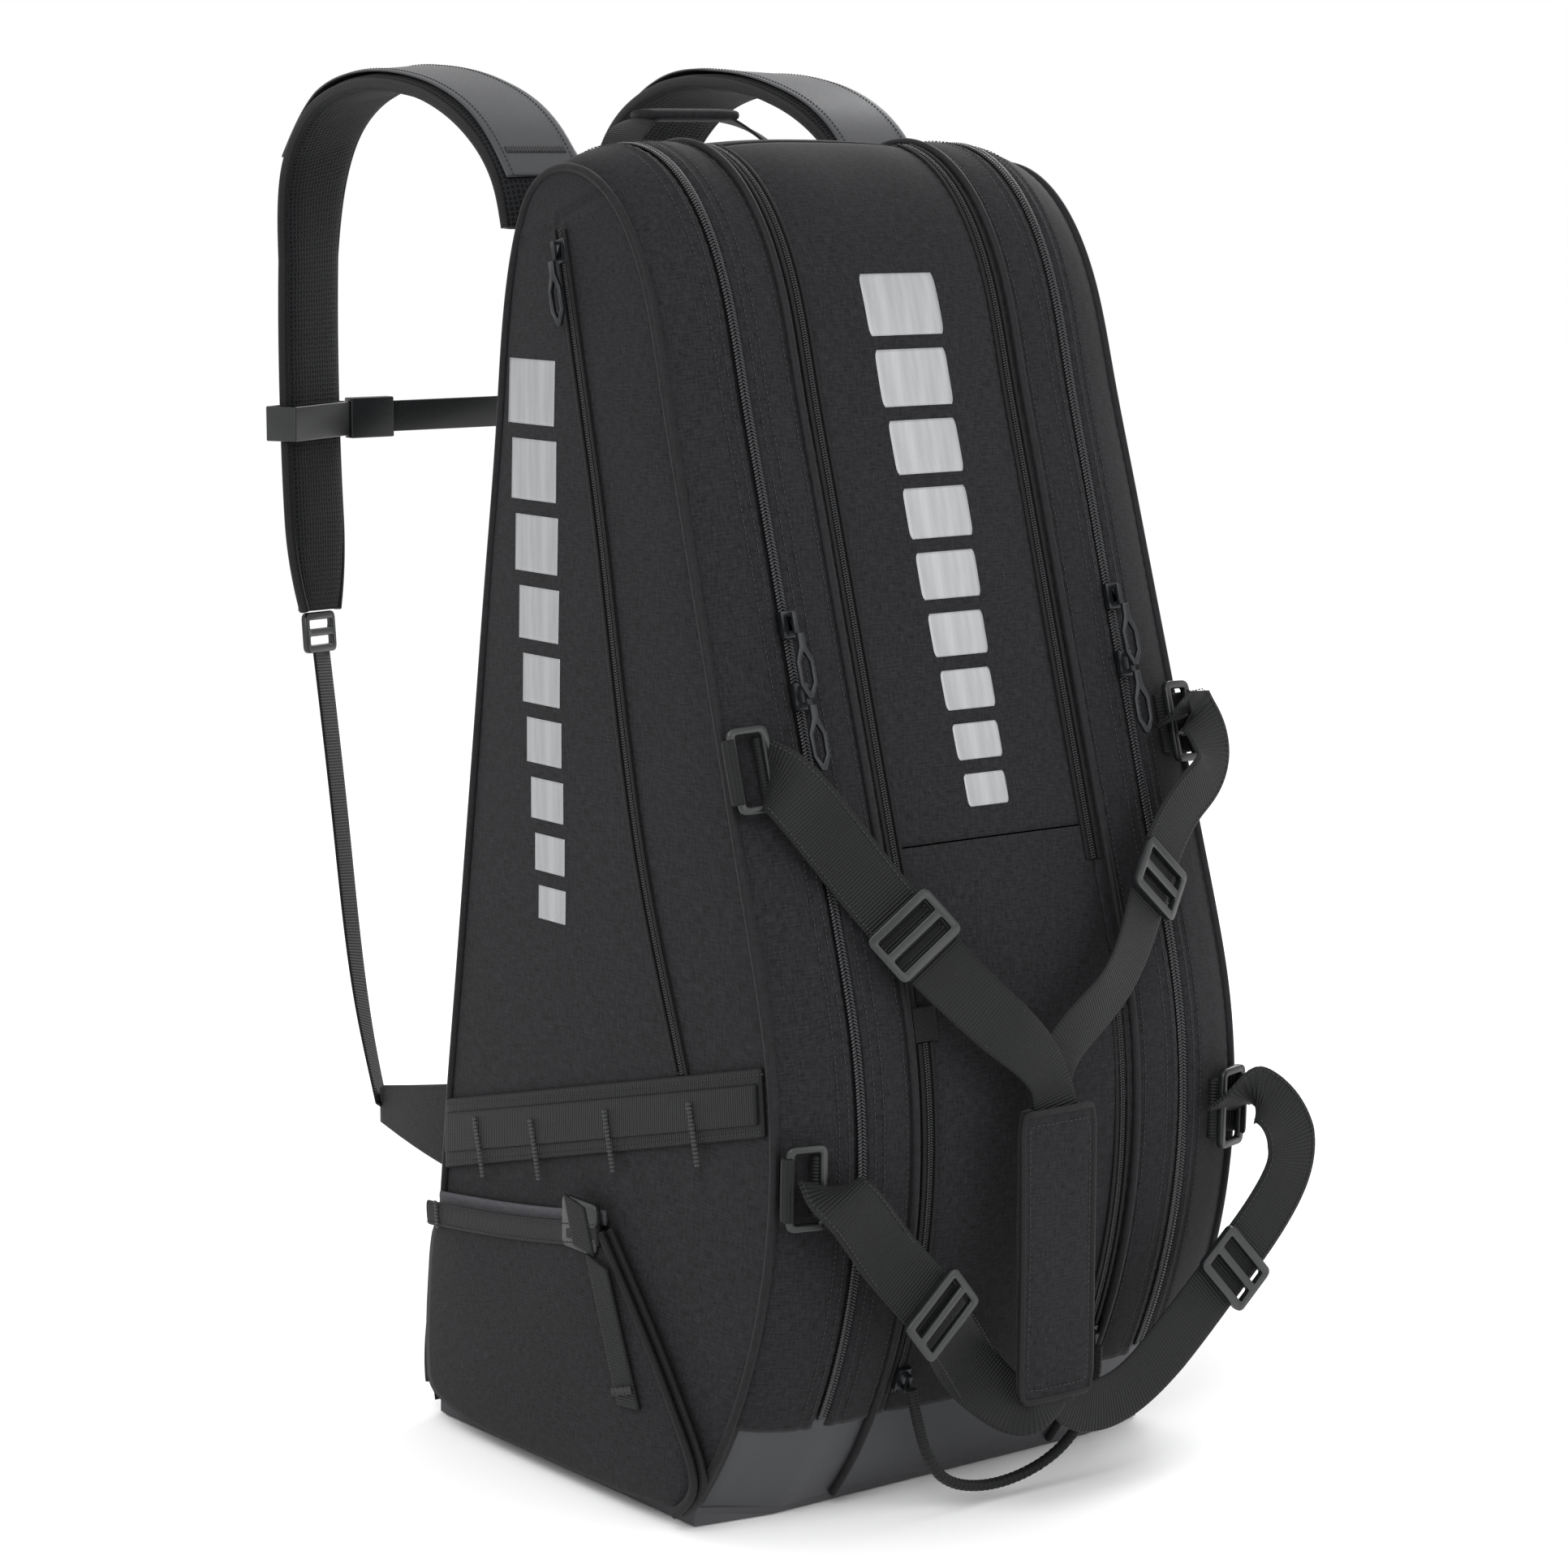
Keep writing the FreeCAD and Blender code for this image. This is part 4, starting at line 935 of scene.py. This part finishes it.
class BAG_OT_handles(bpy.types.Operator):
    """Both carrying handles with their webs, stitched ends and the wrapped grip"""

    bl_idname = "bag.handles"
    bl_label = "Handles"

    def execute(self, context):
        for name, side in SIDES:
            body, parts, threads_ = f"handle_{name}", [], []
            for stations, ring_z in zip(grip_line(side), RING_HEIGHTS):
                points, facing, share = (np.array([s[k] for s in stations], float) for k in range(3))
                bar, out, _up = ring_bar(side, ring_z)
                points = np.concatenate([[bar + out * 3.4], points])
                facing, share = np.concatenate([facing[:1], facing]), np.concatenate([share[:1], share])
                parts.append(webbing(points, facing, WEB, 2.3, share, 200))
                threads_ += stitched(points[:5], facing[:5], WEB, 1.35, taper=share[:5])
            for word, made, finish in (("web", parts, "webbing"), ("stitches", threads_, "thread")):
                piece = new_piece(f"handle_{name}_{word}", *merged(made))
                piece.data.materials.append(MATERIALS[finish])
                if word == "web":
                    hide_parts(f"handle_web_{name}")
                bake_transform(piece)
            self.ring_tabs(name, side)
        self.wrap()
        return {"FINISHED"}

    def ring_tabs(self, name, side):
        """At each ring, the web rolled round its inner bar and a folded tab from its outer bar to the seam."""
        rolls, tabs = [], []
        for z in RING_HEIGHTS:
            in_bar, out, up = ring_bar(side, z)
            base = in_bar + np.array([side, 0, 0]) * 9.6
            bar = np.linspace(-17.5, 17.5, 24)[:, None] * up + in_bar
            rolls.append(sweep(bar, np.array([1.0, 0, 0]), out, oval(10.5, 8.6, 16)))
            knots = np.array([base + np.array([side, 0, 0]) * 9.0 + out * 3.6,
                              base + np.array([side, 0, 0]) * 13.4 + out * 0.6,
                              base + np.array([side, 0, 0]) * 12.6 - out * 5.0,
                              base + np.array([side, 0, 0]) * 4.0 - out * 7.6])
            facing = np.array([out, out + np.array([side * 1.5, 0, 0]), np.array([side, 0, 0]) - 0.4 * out,
                               -out + np.array([side * 0.3, 0, 0])])
            tabs.append(webbing(knots, unit(facing), 36, 2.2, samples=40))
        build(f"handle_{name}_rolls", rolls, f"cover_{name}", "webbing")
        build(f"ring_tabs_{name}", tabs, f"cover_{name}", "webbing")

    def wrap(self):
        """Padded wrap and its flap: squared ovals swept up the grip, swelling and pulled in at both ends."""
        rows = 70
        t = np.linspace(0, 1, rows)
        z = GRIP_LOW + (GRIP_HIGH - GRIP_LOW) * t
        path = np.stack([np.full(rows, GRIP_X), np.full(rows, GRIP_Y + 1.8), z], -1)
        swell = 1 - 0.06 * np.abs(2 * t - 1) ** 6 + 0.012 * np.sin(t * 23)
        wide = np.stack([47.5 * swell, 12.6 * swell], -1)[:, None]
        across, out = np.array([1.0, 0, 0]), np.array([0, -1.0, 0])
        build("grip_roll", [sweep(path, across, out, oval(1, 1, 28, 2.8)[None] * wide)], "handle_right",
              "padded", ["grip_wrap"])
        # the flap: a sheet with rounded corners and a bound edge
        cols = 34
        u = np.linspace(-1, 1, cols)[None]
        v = np.linspace(-1, 1, rows)[:, None]
        half = 25.5 * (1 - 0.06 * np.clip(np.abs(v) - 0.9, 0, 1) * 10)
        x = GRIP_X + u * half
        corner = 1 - 0.015 * np.clip(np.abs(u) - 0.9, 0, 1) * 10
        zz = (GRIP_LOW + GRIP_HIGH) / 2 + v * (GRIP_HIGH - GRIP_LOW) / 2 * corner
        y = GRIP_Y - 5.6 + 1.6 * np.abs(u) ** 4 - 0.6 * np.cos(math.pi * v / 2) + 0.25 * np.sin(3 * v + 2 * u)
        grid = np.stack(np.broadcast_arrays(x, y, zz), -1)
        normal = unit(np.cross(np.gradient(grid, axis=0), np.gradient(grid, axis=1)))
        normal *= -np.sign(normal[..., 1:2] + 1e-9)
        build("grip_flap_cloth", closed_sheet(grid, normal, 3.0), "grip_flap", "padded",
              ["grip_flap"])
        rim = np.concatenate([grid[0, :-1], grid[:-1, -1], grid[-1, :0:-1], grid[:0:-1, 0]])
        rim = np.concatenate([rim, rim[:1]])
        hem = run(rim + np.array([0, 0.6, 0]), np.broadcast_to([0, -1.0, 0], rim.shape), oval(4.4, 3.6, 10))
        build("grip_flap_binding", hem, "grip_flap", "binding")
        edge = rim * np.array([0.86, 1, 0.92]) + np.array([GRIP_X * 0.14, -0.9, 158.5 * 0.08])
        stitch = row_of(*STITCH, edge, np.broadcast_to([0, -1.0, 0], edge.shape), 3.3)
        build("grip_flap_stitches", stitch, "grip_flap", "thread")


HARNESS = ((64, 724, 0), (72, 748, 0), (98, 776, 0), (150, 800, 0), (215, 809, 0.05), (276, 800, 0.15),
           (322, 766, 0.35), (340, 700, 0.6), (342, 620, 0.6), (339, 540, 0.6), (333, 476, 0.6))


def harness(side):
    """Stations of a shoulder strap and the way each faces."""
    y, z, turn = np.array(HARNESS, float).T
    points = np.stack([side * (128 - 4 * turn), y, z], -1)
    curve = spline_through(points)
    tangent = slope(curve, curve.knots)
    upright = np.stack([0 * y, -tangent[:, 2], tangent[:, 1]], -1) * (1 - turn)[:, None]
    return points, unit(upright + np.array([side, 1.2, 0]) * turn[:, None])


class BAG_OT_harness(bpy.types.Operator):
    """Shoulder straps, their webs and the haul handle"""

    bl_idname = "bag.harness"
    bl_label = "Harness"

    def execute(self, context):
        for name, side in SIDES:
            self.strap(name, side)
        self.haul()
        return {"FINISHED"}

    def strap(self, name, side):
        points, facing = harness(side)
        body = f"strap_{name}"
        p, across, out, section = ribbon(points, facing, 62, 13, 3.2, 24, 220)
        t = np.linspace(0, 1, len(p))
        swell = (1 - 0.5 * np.clip(t - 0.9, 0, 1) * 10)[:, None, None] * np.ones((1, 1, 2))
        swell[..., 0] = 1 - 0.35 * (np.clip(t - 0.9, 0, 1) * 10)[:, None] ** 2
        # quilting sinks the foam a little every few centimetres
        quilt = 1 - 0.05 * np.cos(t * 2 * math.pi * 9)[:, None] ** 4
        section = section * swell
        section[..., 1] *= quilt
        build(f"strap_{name}_pad", sweep(p, across, out, section), body, "mesh", [f"strap_{name}"])
        edges = []
        for k in (-1, 1):
            half = np.abs(section[..., 0]).max(-1)[:, None]
            edges.append(run(p + across * half * k * 0.985, out, oval(5.0, 7.0, 10)))
        build(f"strap_{name}_binding", edges, body, "binding")
        patch_p, patch_f = points[1:7], facing[1:7]
        patch = ribbon(patch_p, patch_f, 56, 1.8, 6, 24, 120)
        build(f"strap_{name}_patch", sweep(patch[0] + patch[2] * 7.6, *patch[1:]), body, "coated",
              [f"strap_patch_{name}"])
        rows = stitched(patch_p, patch_f, 54, 8.7)
        tack_at, tack_across, tack_out = patch[0][8] + patch[2][8] * 8.8, patch[1][8], patch[2][8]
        rows.append(bar_tack(tack_at, tack_across, tack_out, 40, 22))
        build(f"strap_{name}_stitches", rows, body, "thread")
        daisy_p, daisy_f = points[6:], facing[6:]
        daisy = ribbon(daisy_p, daisy_f, 25, 2.0, 5, 16, 110)
        parts = [sweep(daisy[0] + daisy[2] * 8.6, *daisy[1:])]
        for k in range(6, 104, 14):
            parts.append(bar_tack(daisy[0][k] + daisy[2][k] * 9.9, daisy[1][k], daisy[2][k], 20))
        build(f"strap_{name}_daisy", parts, body, "webbing", [f"strap_trim_{name}"])
        tip = points[-1] + np.array([0, 0.4, -25])
        web = np.array([tip, (side * 126, 312, 340), (side * 132, 276, 215), (side * 137.5, 248, 167)], float)
        cloth_web = sweep(*ribbon(web, (side * 0.6, 1, 0.2), 22, 2.0, 5, 16, 120))
        piece = new_piece(f"strap_{name}_web", *merged([cloth_web]))
        piece.data.materials.append(MATERIALS["webbing"])
        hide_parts(f"strap_web_{name}")
        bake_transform(piece)

    def haul(self):
        foot = float(profile(share_at(712, True))[0][0]) + 2.6
        y = foot + 24
        points = np.array([(-60, y - 24, 712), (-62, y - 12, 742), (-56, y + 6, 770), (-30, y + 18, 786),
                           (30, y + 18, 786), (56, y + 6, 770), (62, y - 12, 742), (60, y - 24, 712)], float)
        facing = np.array([(0, -1, 0.2), (-0.3, -1, 0.4), (-0.6, -0.6, 0.7), (-0.2, 0, 1), (0.2, 0, 1),
                           (0.6, -0.6, 0.7), (0.3, -1, 0.4), (0, -1, 0.2)], float)
        build("haul_web", webbing(points, facing, 24, 2.2), "haul_handle", "webbing",
              ["haul_handle"])
        rows = 30
        path = np.stack([np.linspace(-32, 32, rows), np.full(rows, y + 18.5), np.full(rows, 788.6)], -1)
        size = 1 - 0.2 * np.abs(np.linspace(-1, 1, rows)) ** 5
        section = oval(1, 1, 24, 3)[None] * np.stack([30 * size, 8 * size], -1)[:, None]
        build("haul_pad", sweep(path, (0, 1, 0), (0, 0, 1), section), "haul_handle", "padded")


def patch_points(outline, step=5.0):
    """A closed outline rounded through its knots: each corner cut by averaging with its neighbours, twice."""
    p = np.asarray(outline, float)
    for _pass in range(3):
        nxt = np.roll(p, -1, axis=0)
        p = np.stack([0.8 * p + 0.2 * nxt, 0.2 * p + 0.8 * nxt], 1).reshape(-1, 2)
    closed = np.concatenate([p, p[:1]])
    d = np.concatenate([[0], np.cumsum(np.linalg.norm(np.diff(closed, axis=0), axis=-1))])
    at = np.arange(0, d[-1], step)
    return np.stack([np.interp(at, d, closed[:, k]) for k in range(2)], -1)


def side_patch(side, outline, lift, swell, thick, rings=14):
    """A patch on a side panel: rings shrink from the outline to its middle, and the swell is one less the
    fourth power of the way out."""
    edge = patch_points(outline)
    middle = edge.mean(0)
    w = np.linspace(0.001, 1, rings)[::-1] ** 0.8
    yz = middle + (edge - middle)[None] * w[:, None, None]
    rise = lift + swell * (1 - w**4)[:, None] + 0 * yz[..., 0]
    top = side_point(side, yz[..., 0], yz[..., 1], rise)[0]
    under = side_point(side, yz[..., 0], yz[..., 1], np.full(yz.shape[:2], lift - thick))[0]
    loops = np.concatenate([under[::-1], top], 0)
    cols = loops.shape[1]
    faces = grid_faces(len(loops), cols, True)
    last = (len(loops) - 1) * cols
    faces += [[last + j for j in range(cols)][::-1], list(range(cols))]
    uv = np.concatenate([yz[::-1], yz], 0).reshape(-1, 2) * 0.001
    return loops.reshape(-1, 3), faces, uv


def side_web(side, corners, lift, thick, rows=60, cols=12):
    """A flat band on a side panel between four corners, its edges rolled."""
    a, b, c, d = np.asarray(corners, float)
    s = np.linspace(0, 1, rows)[:, None, None]
    t = np.linspace(0, 1, cols)[None, :, None]
    yz = (a * (1 - t) + b * t) * (1 - s) + (d * (1 - t) + c * t) * s
    rise = lift + 0 * yz[..., 0]
    point, normal = side_point(side, yz[..., 0], yz[..., 1], rise)
    return closed_sheet(point, normal, thick)


class BAG_OT_pockets(bpy.types.Operator):
    """Side webbing with its tacks, and the pockets of both sides"""

    bl_idname = "bag.pockets"
    bl_label = "Side webbing and pockets"

    def execute(self, context):
        for name, side in SIDES:
            wide = side_web(side, ((118, 160), (118, 201), (-196, 277), (-200, 241)), 3.6, 2.4, 90)
            narrow = side_web(side, ((116, 170), (116, 193), (-194, 268), (-196, 247)), 5.4, 1.7, 90)
            build(f"side_web_{name}", [wide, narrow], f"cover_{name}", "webbing",
                  [f"side_webbing_{name}"])
            tacks = []
            for y, z in ((73, 199), (11, 210), (-64, 230), (-143, 249)):
                z = z - 0.5 if side < 0 else z - 2
                centre, out = side_point(side, y, z - 17, 6.4)
                tacks.append(bar_tack(centre, unit(np.array([0, 0.24, 0.97])), out, 34, 16))
            rows = []
            for k in (0.06, 0.94):
                low = np.array([(118, 160 + 41 * k), (-40, 200 + 38 * k), (-198, 241 + 36 * k)])
                rows.append(row_of(*STITCH, *side_line(side, low, 4.0, 160), 3.3))
            build(f"side_web_tacks_{name}", tacks + rows, f"cover_{name}", "thread")
        self.left()
        self.right()
        return {"FINISHED"}

    def left(self):
        outline = [(128, 9), (131, 60), (126, 132), (60, 140), (-20, 152), (-62, 160), (-106, 106),
                   (-136, 62),
                   (-146, 30), (-126, 9)]
        build("low_pocket", [side_patch(-1, outline, 9.5, 3.2, 4.0, 18)], "cover_left", "woven",
              ["lower_pocket"])
        hem = [(126, 131), (60, 139), (-20, 151), (-62, 159)]
        parts = [run(*side_line(-1, hem, 11.0, 120), oval(15.0, 3.4, 14, 3))]
        hem_tail = [(-62, 159), (-84, 133), (-106, 105), (-136, 61), (-146, 30), (-128, 10)]
        parts.append(run(*side_line(-1, hem_tail, 9.5, 120), oval(6.0, 4.4, 12)))
        # bellows: a lower fold between the pocket's bound edge and the side panel
        parts.append(run(*side_line(-1, [(y - 2, z + 1) for y, z in hem_tail], 4.8, 120), oval(7.0, 4.8, 12)))
        build("low_pocket_hem", parts, "cover_left", "binding")
        lining = [(124, 139), (60, 147), (-20, 159), (-58, 166)]
        build("low_pocket_mouth", [run(*side_line(-1, lining, 3.4, 100), oval(9.0, 2.4, 10, 3))],
              "cover_left",
              "lining")
        web = side_web(-1, ((-54, 146), (-74, 141), (-104, 66), (-84, 64)), 14.4, 2.0, 40)
        tail = side_web(-1, ((-30, 176), (-50, 172), (-60, 146), (-40, 148)), 13.6, 2.0, 20)
        build("low_pocket_web", [web, tail], "cover_left", "webbing")
        centre, out = side_point(-1, 112, 133, 13.4)
        tacks = [bar_tack(centre, unit(np.array([0, 0.1, 1.0])), out, 15, 8)]
        centre, out = side_point(-1, -90, 74, 15.8)
        tacks.append(bar_tack(centre, unit(np.array([0, 1.0, -0.3])), out, 18, 9))
        for k in (-5.5, 5.5):
            line = side_line(-1, [(y, z + k) for y, z in hem], 12.9, 160)
            tacks.append(row_of(*STITCH, *line, 3.3))
        build("low_pocket_stitches", tacks, "cover_left", "thread")

    def right(self):
        outline = [(96, 96), (100, 260), (74, 386), (-100, 400), (-140, 392), (-162, 330), (-176, 270),
                   (-178, 160),
                   (-150, 96)]
        build("tall_pocket", [side_patch(1, outline, 8.2, 3.0, 6.0, 18)], "cover_right", "woven",
              ["right_pocket"])
        edge = patch_points(outline, 6.0)
        line = side_point(1, edge[:, 0], edge[:, 1], np.full(len(edge), 8.0))
        loop = np.concatenate([line[0], line[0][:1]]), np.concatenate([line[1], line[1][:1]])
        build("tall_pocket_piping", [run(*loop, oval(5.4, 5.4, 12))], "cover_right", "cordseam")


class BAG_OT_back(bpy.types.Operator):
    """Back panel and mesh pads"""

    bl_idname = "bag.back"
    bl_label = "Back"

    def execute(self, context):
        rows, cols = 90, 50
        top = float(share_at(TOP_BACK_Z, True))
        s = np.linspace(top - 0.0035, 0.9995, rows)
        z = profile(s)[0][:, 1]
        x = np.linspace(-1, 1, cols)[None] * (side_edge(z) - 1.2)[:, None]
        grid = np.broadcast_to(s[:, None], x.shape)
        p, n = shell(x, grid, 0.6)
        flat = p + n * (0.4 * np.sin(x / 31.0) * np.sin(z[:, None] / 47.0))[..., None]
        build("back_skin", closed_sheet(flat, n, 3.0), "bag", "woven", ["back_panel"])
        box_lo, box_hi = (np.array(v) * 1000 for v in node_span("back_pads"))
        self.pads(box_lo, box_hi)
        return {"FINISHED"}

    def pads(self, lo, hi):
        """Three foam pads: superellipse cushions, fullest in the middle."""
        parts = []
        tall = hi[2] - lo[2]
        count = 3
        each = tall / count
        for k in range(count):
            z0 = lo[2] + k * each + 4
            z1 = lo[2] + (k + 1) * each - 4
            rows, cols = 46, 40
            u = np.linspace(-1, 1, cols)[None]
            v = np.linspace(-1, 1, rows)[:, None]
            half = (hi[0] - lo[0]) / 2
            squeeze_u = np.sign(u) * (1 - (1 - np.abs(u)) ** 1.6)
            squeeze_v = np.sign(v) * (1 - (1 - np.abs(v)) ** 1.6)
            shape = np.clip(1 - np.abs(u) ** 6, 0, 1) ** 0.5 * np.clip(1 - np.abs(v) ** 6, 0, 1) ** 0.5
            x = squeeze_u * half * (1 - 0.05 * np.abs(v) ** 8) + 0 * v
            z = (z0 + z1) / 2 + squeeze_v * (z1 - z0) / 2 * (1 - 0.05 * np.abs(u) ** 8)
            s = share_at(np.clip(z, 20, 700), True)
            p, n = shell(np.clip(x, -118, 118), s, 0.0)
            base = np.stack([x, p[..., 1], p[..., 2]], -1)
            quilt = 1.2 * np.exp(-((np.abs(u) * half - 42) / 3.0) ** 2)
            tallness = 14.0 * shape - quilt * shape + 1.0
            top = base + n * tallness[..., None]
            parts.append(closed_sheet(top, n, 1.0))
        build("back_pads_mesh", parts, "bag", "mesh", ["back_pads"])


def node_span(node):
    """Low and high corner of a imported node, in metres."""
    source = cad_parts[node]
    co = np.array([source.matrix_world @ v.co for v in source.data.vertices])
    return co.min(0), co.max(0)


class BAG_OT_prints(bpy.types.Operator):
    """Plain silver bars, the side print and the hanging pull loop"""

    bl_idname = "bag.prints"
    bl_label = "Prints and pull loop"

    def execute(self, context):
        bars = []
        top = 0.905 * HEIGHT
        for i in range(9):
            tall = (0.044 - 0.0026 * i) * HEIGHT
            half = 27 - 1.5 * i
            z = np.linspace(top, top - tall, 20)
            x = np.linspace(-1, 1, 22)[None] * (half - 1.5 * (np.abs(np.linspace(-1, 1, 20)) ** 8)[:, None])
            s = share_at(z)[:, None] + 0 * x
            point, normal = skin(x, s, 0.9 + 0.35)
            bars.append(closed_sheet(point, normal, 0.5))
            top -= tall + 0.010 * HEIGHT
        build("front_bars", bars, "centre_flap", "silver", ["front_graphic"])
        bars, top = [], 650.0
        for i in range(9):
            tall, half = 37 - 2.2 * i, 25 - 1.4 * i
            centre = 29 - 0.085 * (650 - top)
            z = np.linspace(top, top - tall, 16)[:, None]
            y = centre + np.linspace(-half, half, 22)[None] + 0 * z
            point, normal = side_point(-1, y, z + 0 * y, 0.75)
            bars.append(closed_sheet(point, normal, 0.6))
            top -= tall + 8.5
        build("side_bars", bars, "cover_left", "silver", ["side_graphic"])
        y = float(shell(0.0, share_at(80.0), 16.0)[0][1])
        loop = np.array([(-70, y, 80), (-64, y - 2, 52), (-46, y + 2, 24), (-20, y + 5, 12), (20, y + 5, 12),
                         (46, y + 2, 24), (64, y - 2, 52), (70, y, 80)], float)
        p, across, out, section = ribbon(loop, (0, -1, 0.001), 6.4, 6.4, 2.0, 14, 200)
        turn = np.linspace(0, 60, 200)
        cord = sweep(p, across, out, section * (1 + 0.05 * np.sin(turn * 6)[:, None, None]))
        build("pull_cord", cord, "pull_loop", "webbing", ["pull_loop"])
        return {"FINISHED"}


class BAG_OT_wings(bpy.types.Operator):
    """The two wings that the strap webs are sewn to"""

    bl_idname = "bag.wings"
    bl_label = "Wings"

    def execute(self, context):
        for side in (-1, 1):
            rows, cols = 30, 22
            v = np.linspace(0, 1, rows)[:, None]
            u = np.linspace(-1, 1, cols)[None]
            base_z = 150 + 58 * (u + 1) / 2
            tip = np.array([side * 138, 250, 168])
            base = np.stack([side * 158.0 + 0 * base_z, np.interp(base_z, [150, 208], [118, 116]) + 0 * u,
                             base_z], -1)
            end = tip + np.stack([0 * u, 0 * u, 11.0 * u], -1)
            grid = base * (1 - v[..., None]) + end * v[..., None]
            grid = grid + np.array([side, 0, 0]) * (2.5 * np.sin(math.pi * v))[..., None]
            normal = unit(np.broadcast_to([side, 0.25, 0.0], grid.shape))
            build(f"wing_{'left' if side < 0 else 'right'}", closed_sheet(grid, normal, 4.0), "bag",
                  "woven",
                  ["wings"])
        return {"FINISHED"}


class BAG_OT_stage(bpy.types.Operator):
    """White sweep, soft lights and the camera"""

    bl_idname = "bag.stage"
    bl_label = "Stage"

    def execute(self, context):
        scene = context.scene
        settings = scene.bag_stage
        world = bpy.data.worlds.new("Studio")
        scene.world = world
        world.use_nodes = True
        world.node_tree.nodes["Background"].inputs["Color"].default_value = (1, 1, 1, 1)
        world.node_tree.nodes["Background"].inputs["Strength"].default_value = settings.world
        bpy.ops.mesh.primitive_plane_add(size=160, location=(0, 0, -0.001))
        floor = bpy.context.object
        floor.name = "Studio floor"
        floor.data.materials.append(start("Seamless paper", "#ffffff", 0.9, 0.0)[0])
        aim = np.array([0.0, 0.0, 0.38])
        for name, where, size, power in (("Key softbox", (-1.9, -1.4, 2.2), 1.6, settings.key),
                                         ("Front fill", (0.6, -2.8, 1.2), 2.0, settings.fill),
                                         ("Rim strip", (2.4, 1.2, 1.9), 1.4, settings.rim)):
            lamp = bpy.data.lights.new(name, "AREA")
            lamp.energy, lamp.size = power, size
            holder = bpy.data.objects.new(name, lamp)
            holder.location = where
            direction = aim - np.array(where)
            holder.rotation_euler = (math.atan2(math.hypot(direction[0], direction[1]), -direction[2]), 0,
                                     math.atan2(direction[0], direction[1]) * -1)
            scene.collection.objects.link(holder)
        data = bpy.data.cameras.new("Camera")
        data.lens, data.sensor_width = settings.lens, 36.0
        camera = bpy.data.objects.new("Camera", data)
        camera.location = (-1.463, -1.906, 0.770)
        camera.rotation_euler = (math.radians(90 - 8.93), 0, math.radians(-37.4))
        scene.collection.objects.link(camera)
        scene.camera = camera
        scene.view_settings.view_transform = "Standard"
        return {"FINISHED"}


class BAG_PG_sizes(bpy.types.PropertyGroup):
    """Sewing sizes"""

    stitch: bpy.props.FloatProperty(name="Stitch length",
                                    description="Length of one visible stitch, in millimetres",
                                    default=2.4, min=1.0, max=6.0, precision=2)
    coil_pitch: bpy.props.FloatProperty(name="Coil pitch",
                                        description="Spacing of the main coil turns, in millimetres",
                                        default=1.9, min=1.0, max=5.0, precision=2)


class BAG_PG_colours(bpy.types.PropertyGroup):
    """Colours as sRGB hex codes"""

    cloth_dark: bpy.props.StringProperty(name="Cloth dark", description="Darker yarns of the main cloth",
                                         default="#0a0a0b")
    cloth_light: bpy.props.StringProperty(name="Cloth light", description="Lighter yarns of the main cloth",
                                          default="#222225")
    coated: bpy.props.StringProperty(name="Coated cloth", description="Coated foot band and strap patches",
                                     default="#222326")


class BAG_PG_stage(bpy.types.PropertyGroup):
    """Studio levels"""

    world: bpy.props.FloatProperty(name="World", description="Strength of the white surroundings",
                                   default=1.0)
    key: bpy.props.FloatProperty(name="Key", description="Power of the main softbox", default=48.0,
                                 unit="POWER")
    fill: bpy.props.FloatProperty(name="Fill", description="Power of the front fill", default=22.0,
                                  unit="POWER")
    rim: bpy.props.FloatProperty(name="Rim", description="Power of the rear strip", default=30.0,
                                 unit="POWER")
    lens: bpy.props.FloatProperty(name="Lens", description="Focal length of the camera", default=93.17,
                                  subtype="DISTANCE_CAMERA")


PIECES = (BAG_OT_skin, BAG_OT_sides, BAG_OT_seams, BAG_OT_zips, BAG_OT_hardware, BAG_OT_handles,
          BAG_OT_harness,
          BAG_OT_pockets, BAG_OT_back, BAG_OT_wings, BAG_OT_prints, BAG_OT_stage)


class BAG_PT_panel(bpy.types.Panel):
    """Sizes, colours and the steps of the bag"""

    bl_idname = "BAG_PT_panel"
    bl_label = "Racket bag"
    bl_space_type = "VIEW_3D"
    bl_region_type = "UI"
    bl_category = "Bag"

    def draw(self, context):
        column = self.layout.column()
        for name in ("bag_sizes", "bag_colours", "bag_stage"):
            group = getattr(context.scene, name)
            for field in group.bl_rna.properties:
                if field.identifier not in ("rna_type", "name"):
                    column.prop(group, field.identifier)
        for piece in PIECES:
            column.operator(piece.bl_idname)


GROUPS = ((BAG_PG_sizes, "bag_sizes"), (BAG_PG_colours, "bag_colours"), (BAG_PG_stage, "bag_stage"))


def register():
    for group, name in GROUPS:
        bpy.utils.register_class(group)
        setattr(bpy.types.Scene, name, bpy.props.PointerProperty(type=group))
    for cls in PIECES + (BAG_PT_panel,):
        bpy.utils.register_class(cls)


def unregister():
    for cls in (BAG_PT_panel,) + PIECES[::-1]:
        bpy.utils.unregister_class(cls)
    for group, name in GROUPS[::-1]:
        delattr(bpy.types.Scene, name)
        bpy.utils.unregister_class(group)


def main():
    register()
    make_finishes(bpy.context.scene.bag_colours)
    for piece in PIECES:
        word = piece.bl_idname.split(".")[1]
        if getattr(bpy.ops.bag, word)() != {"FINISHED"}:
            raise RuntimeError(f"{word} did not finish")


if __name__ == "__main__":
    main()
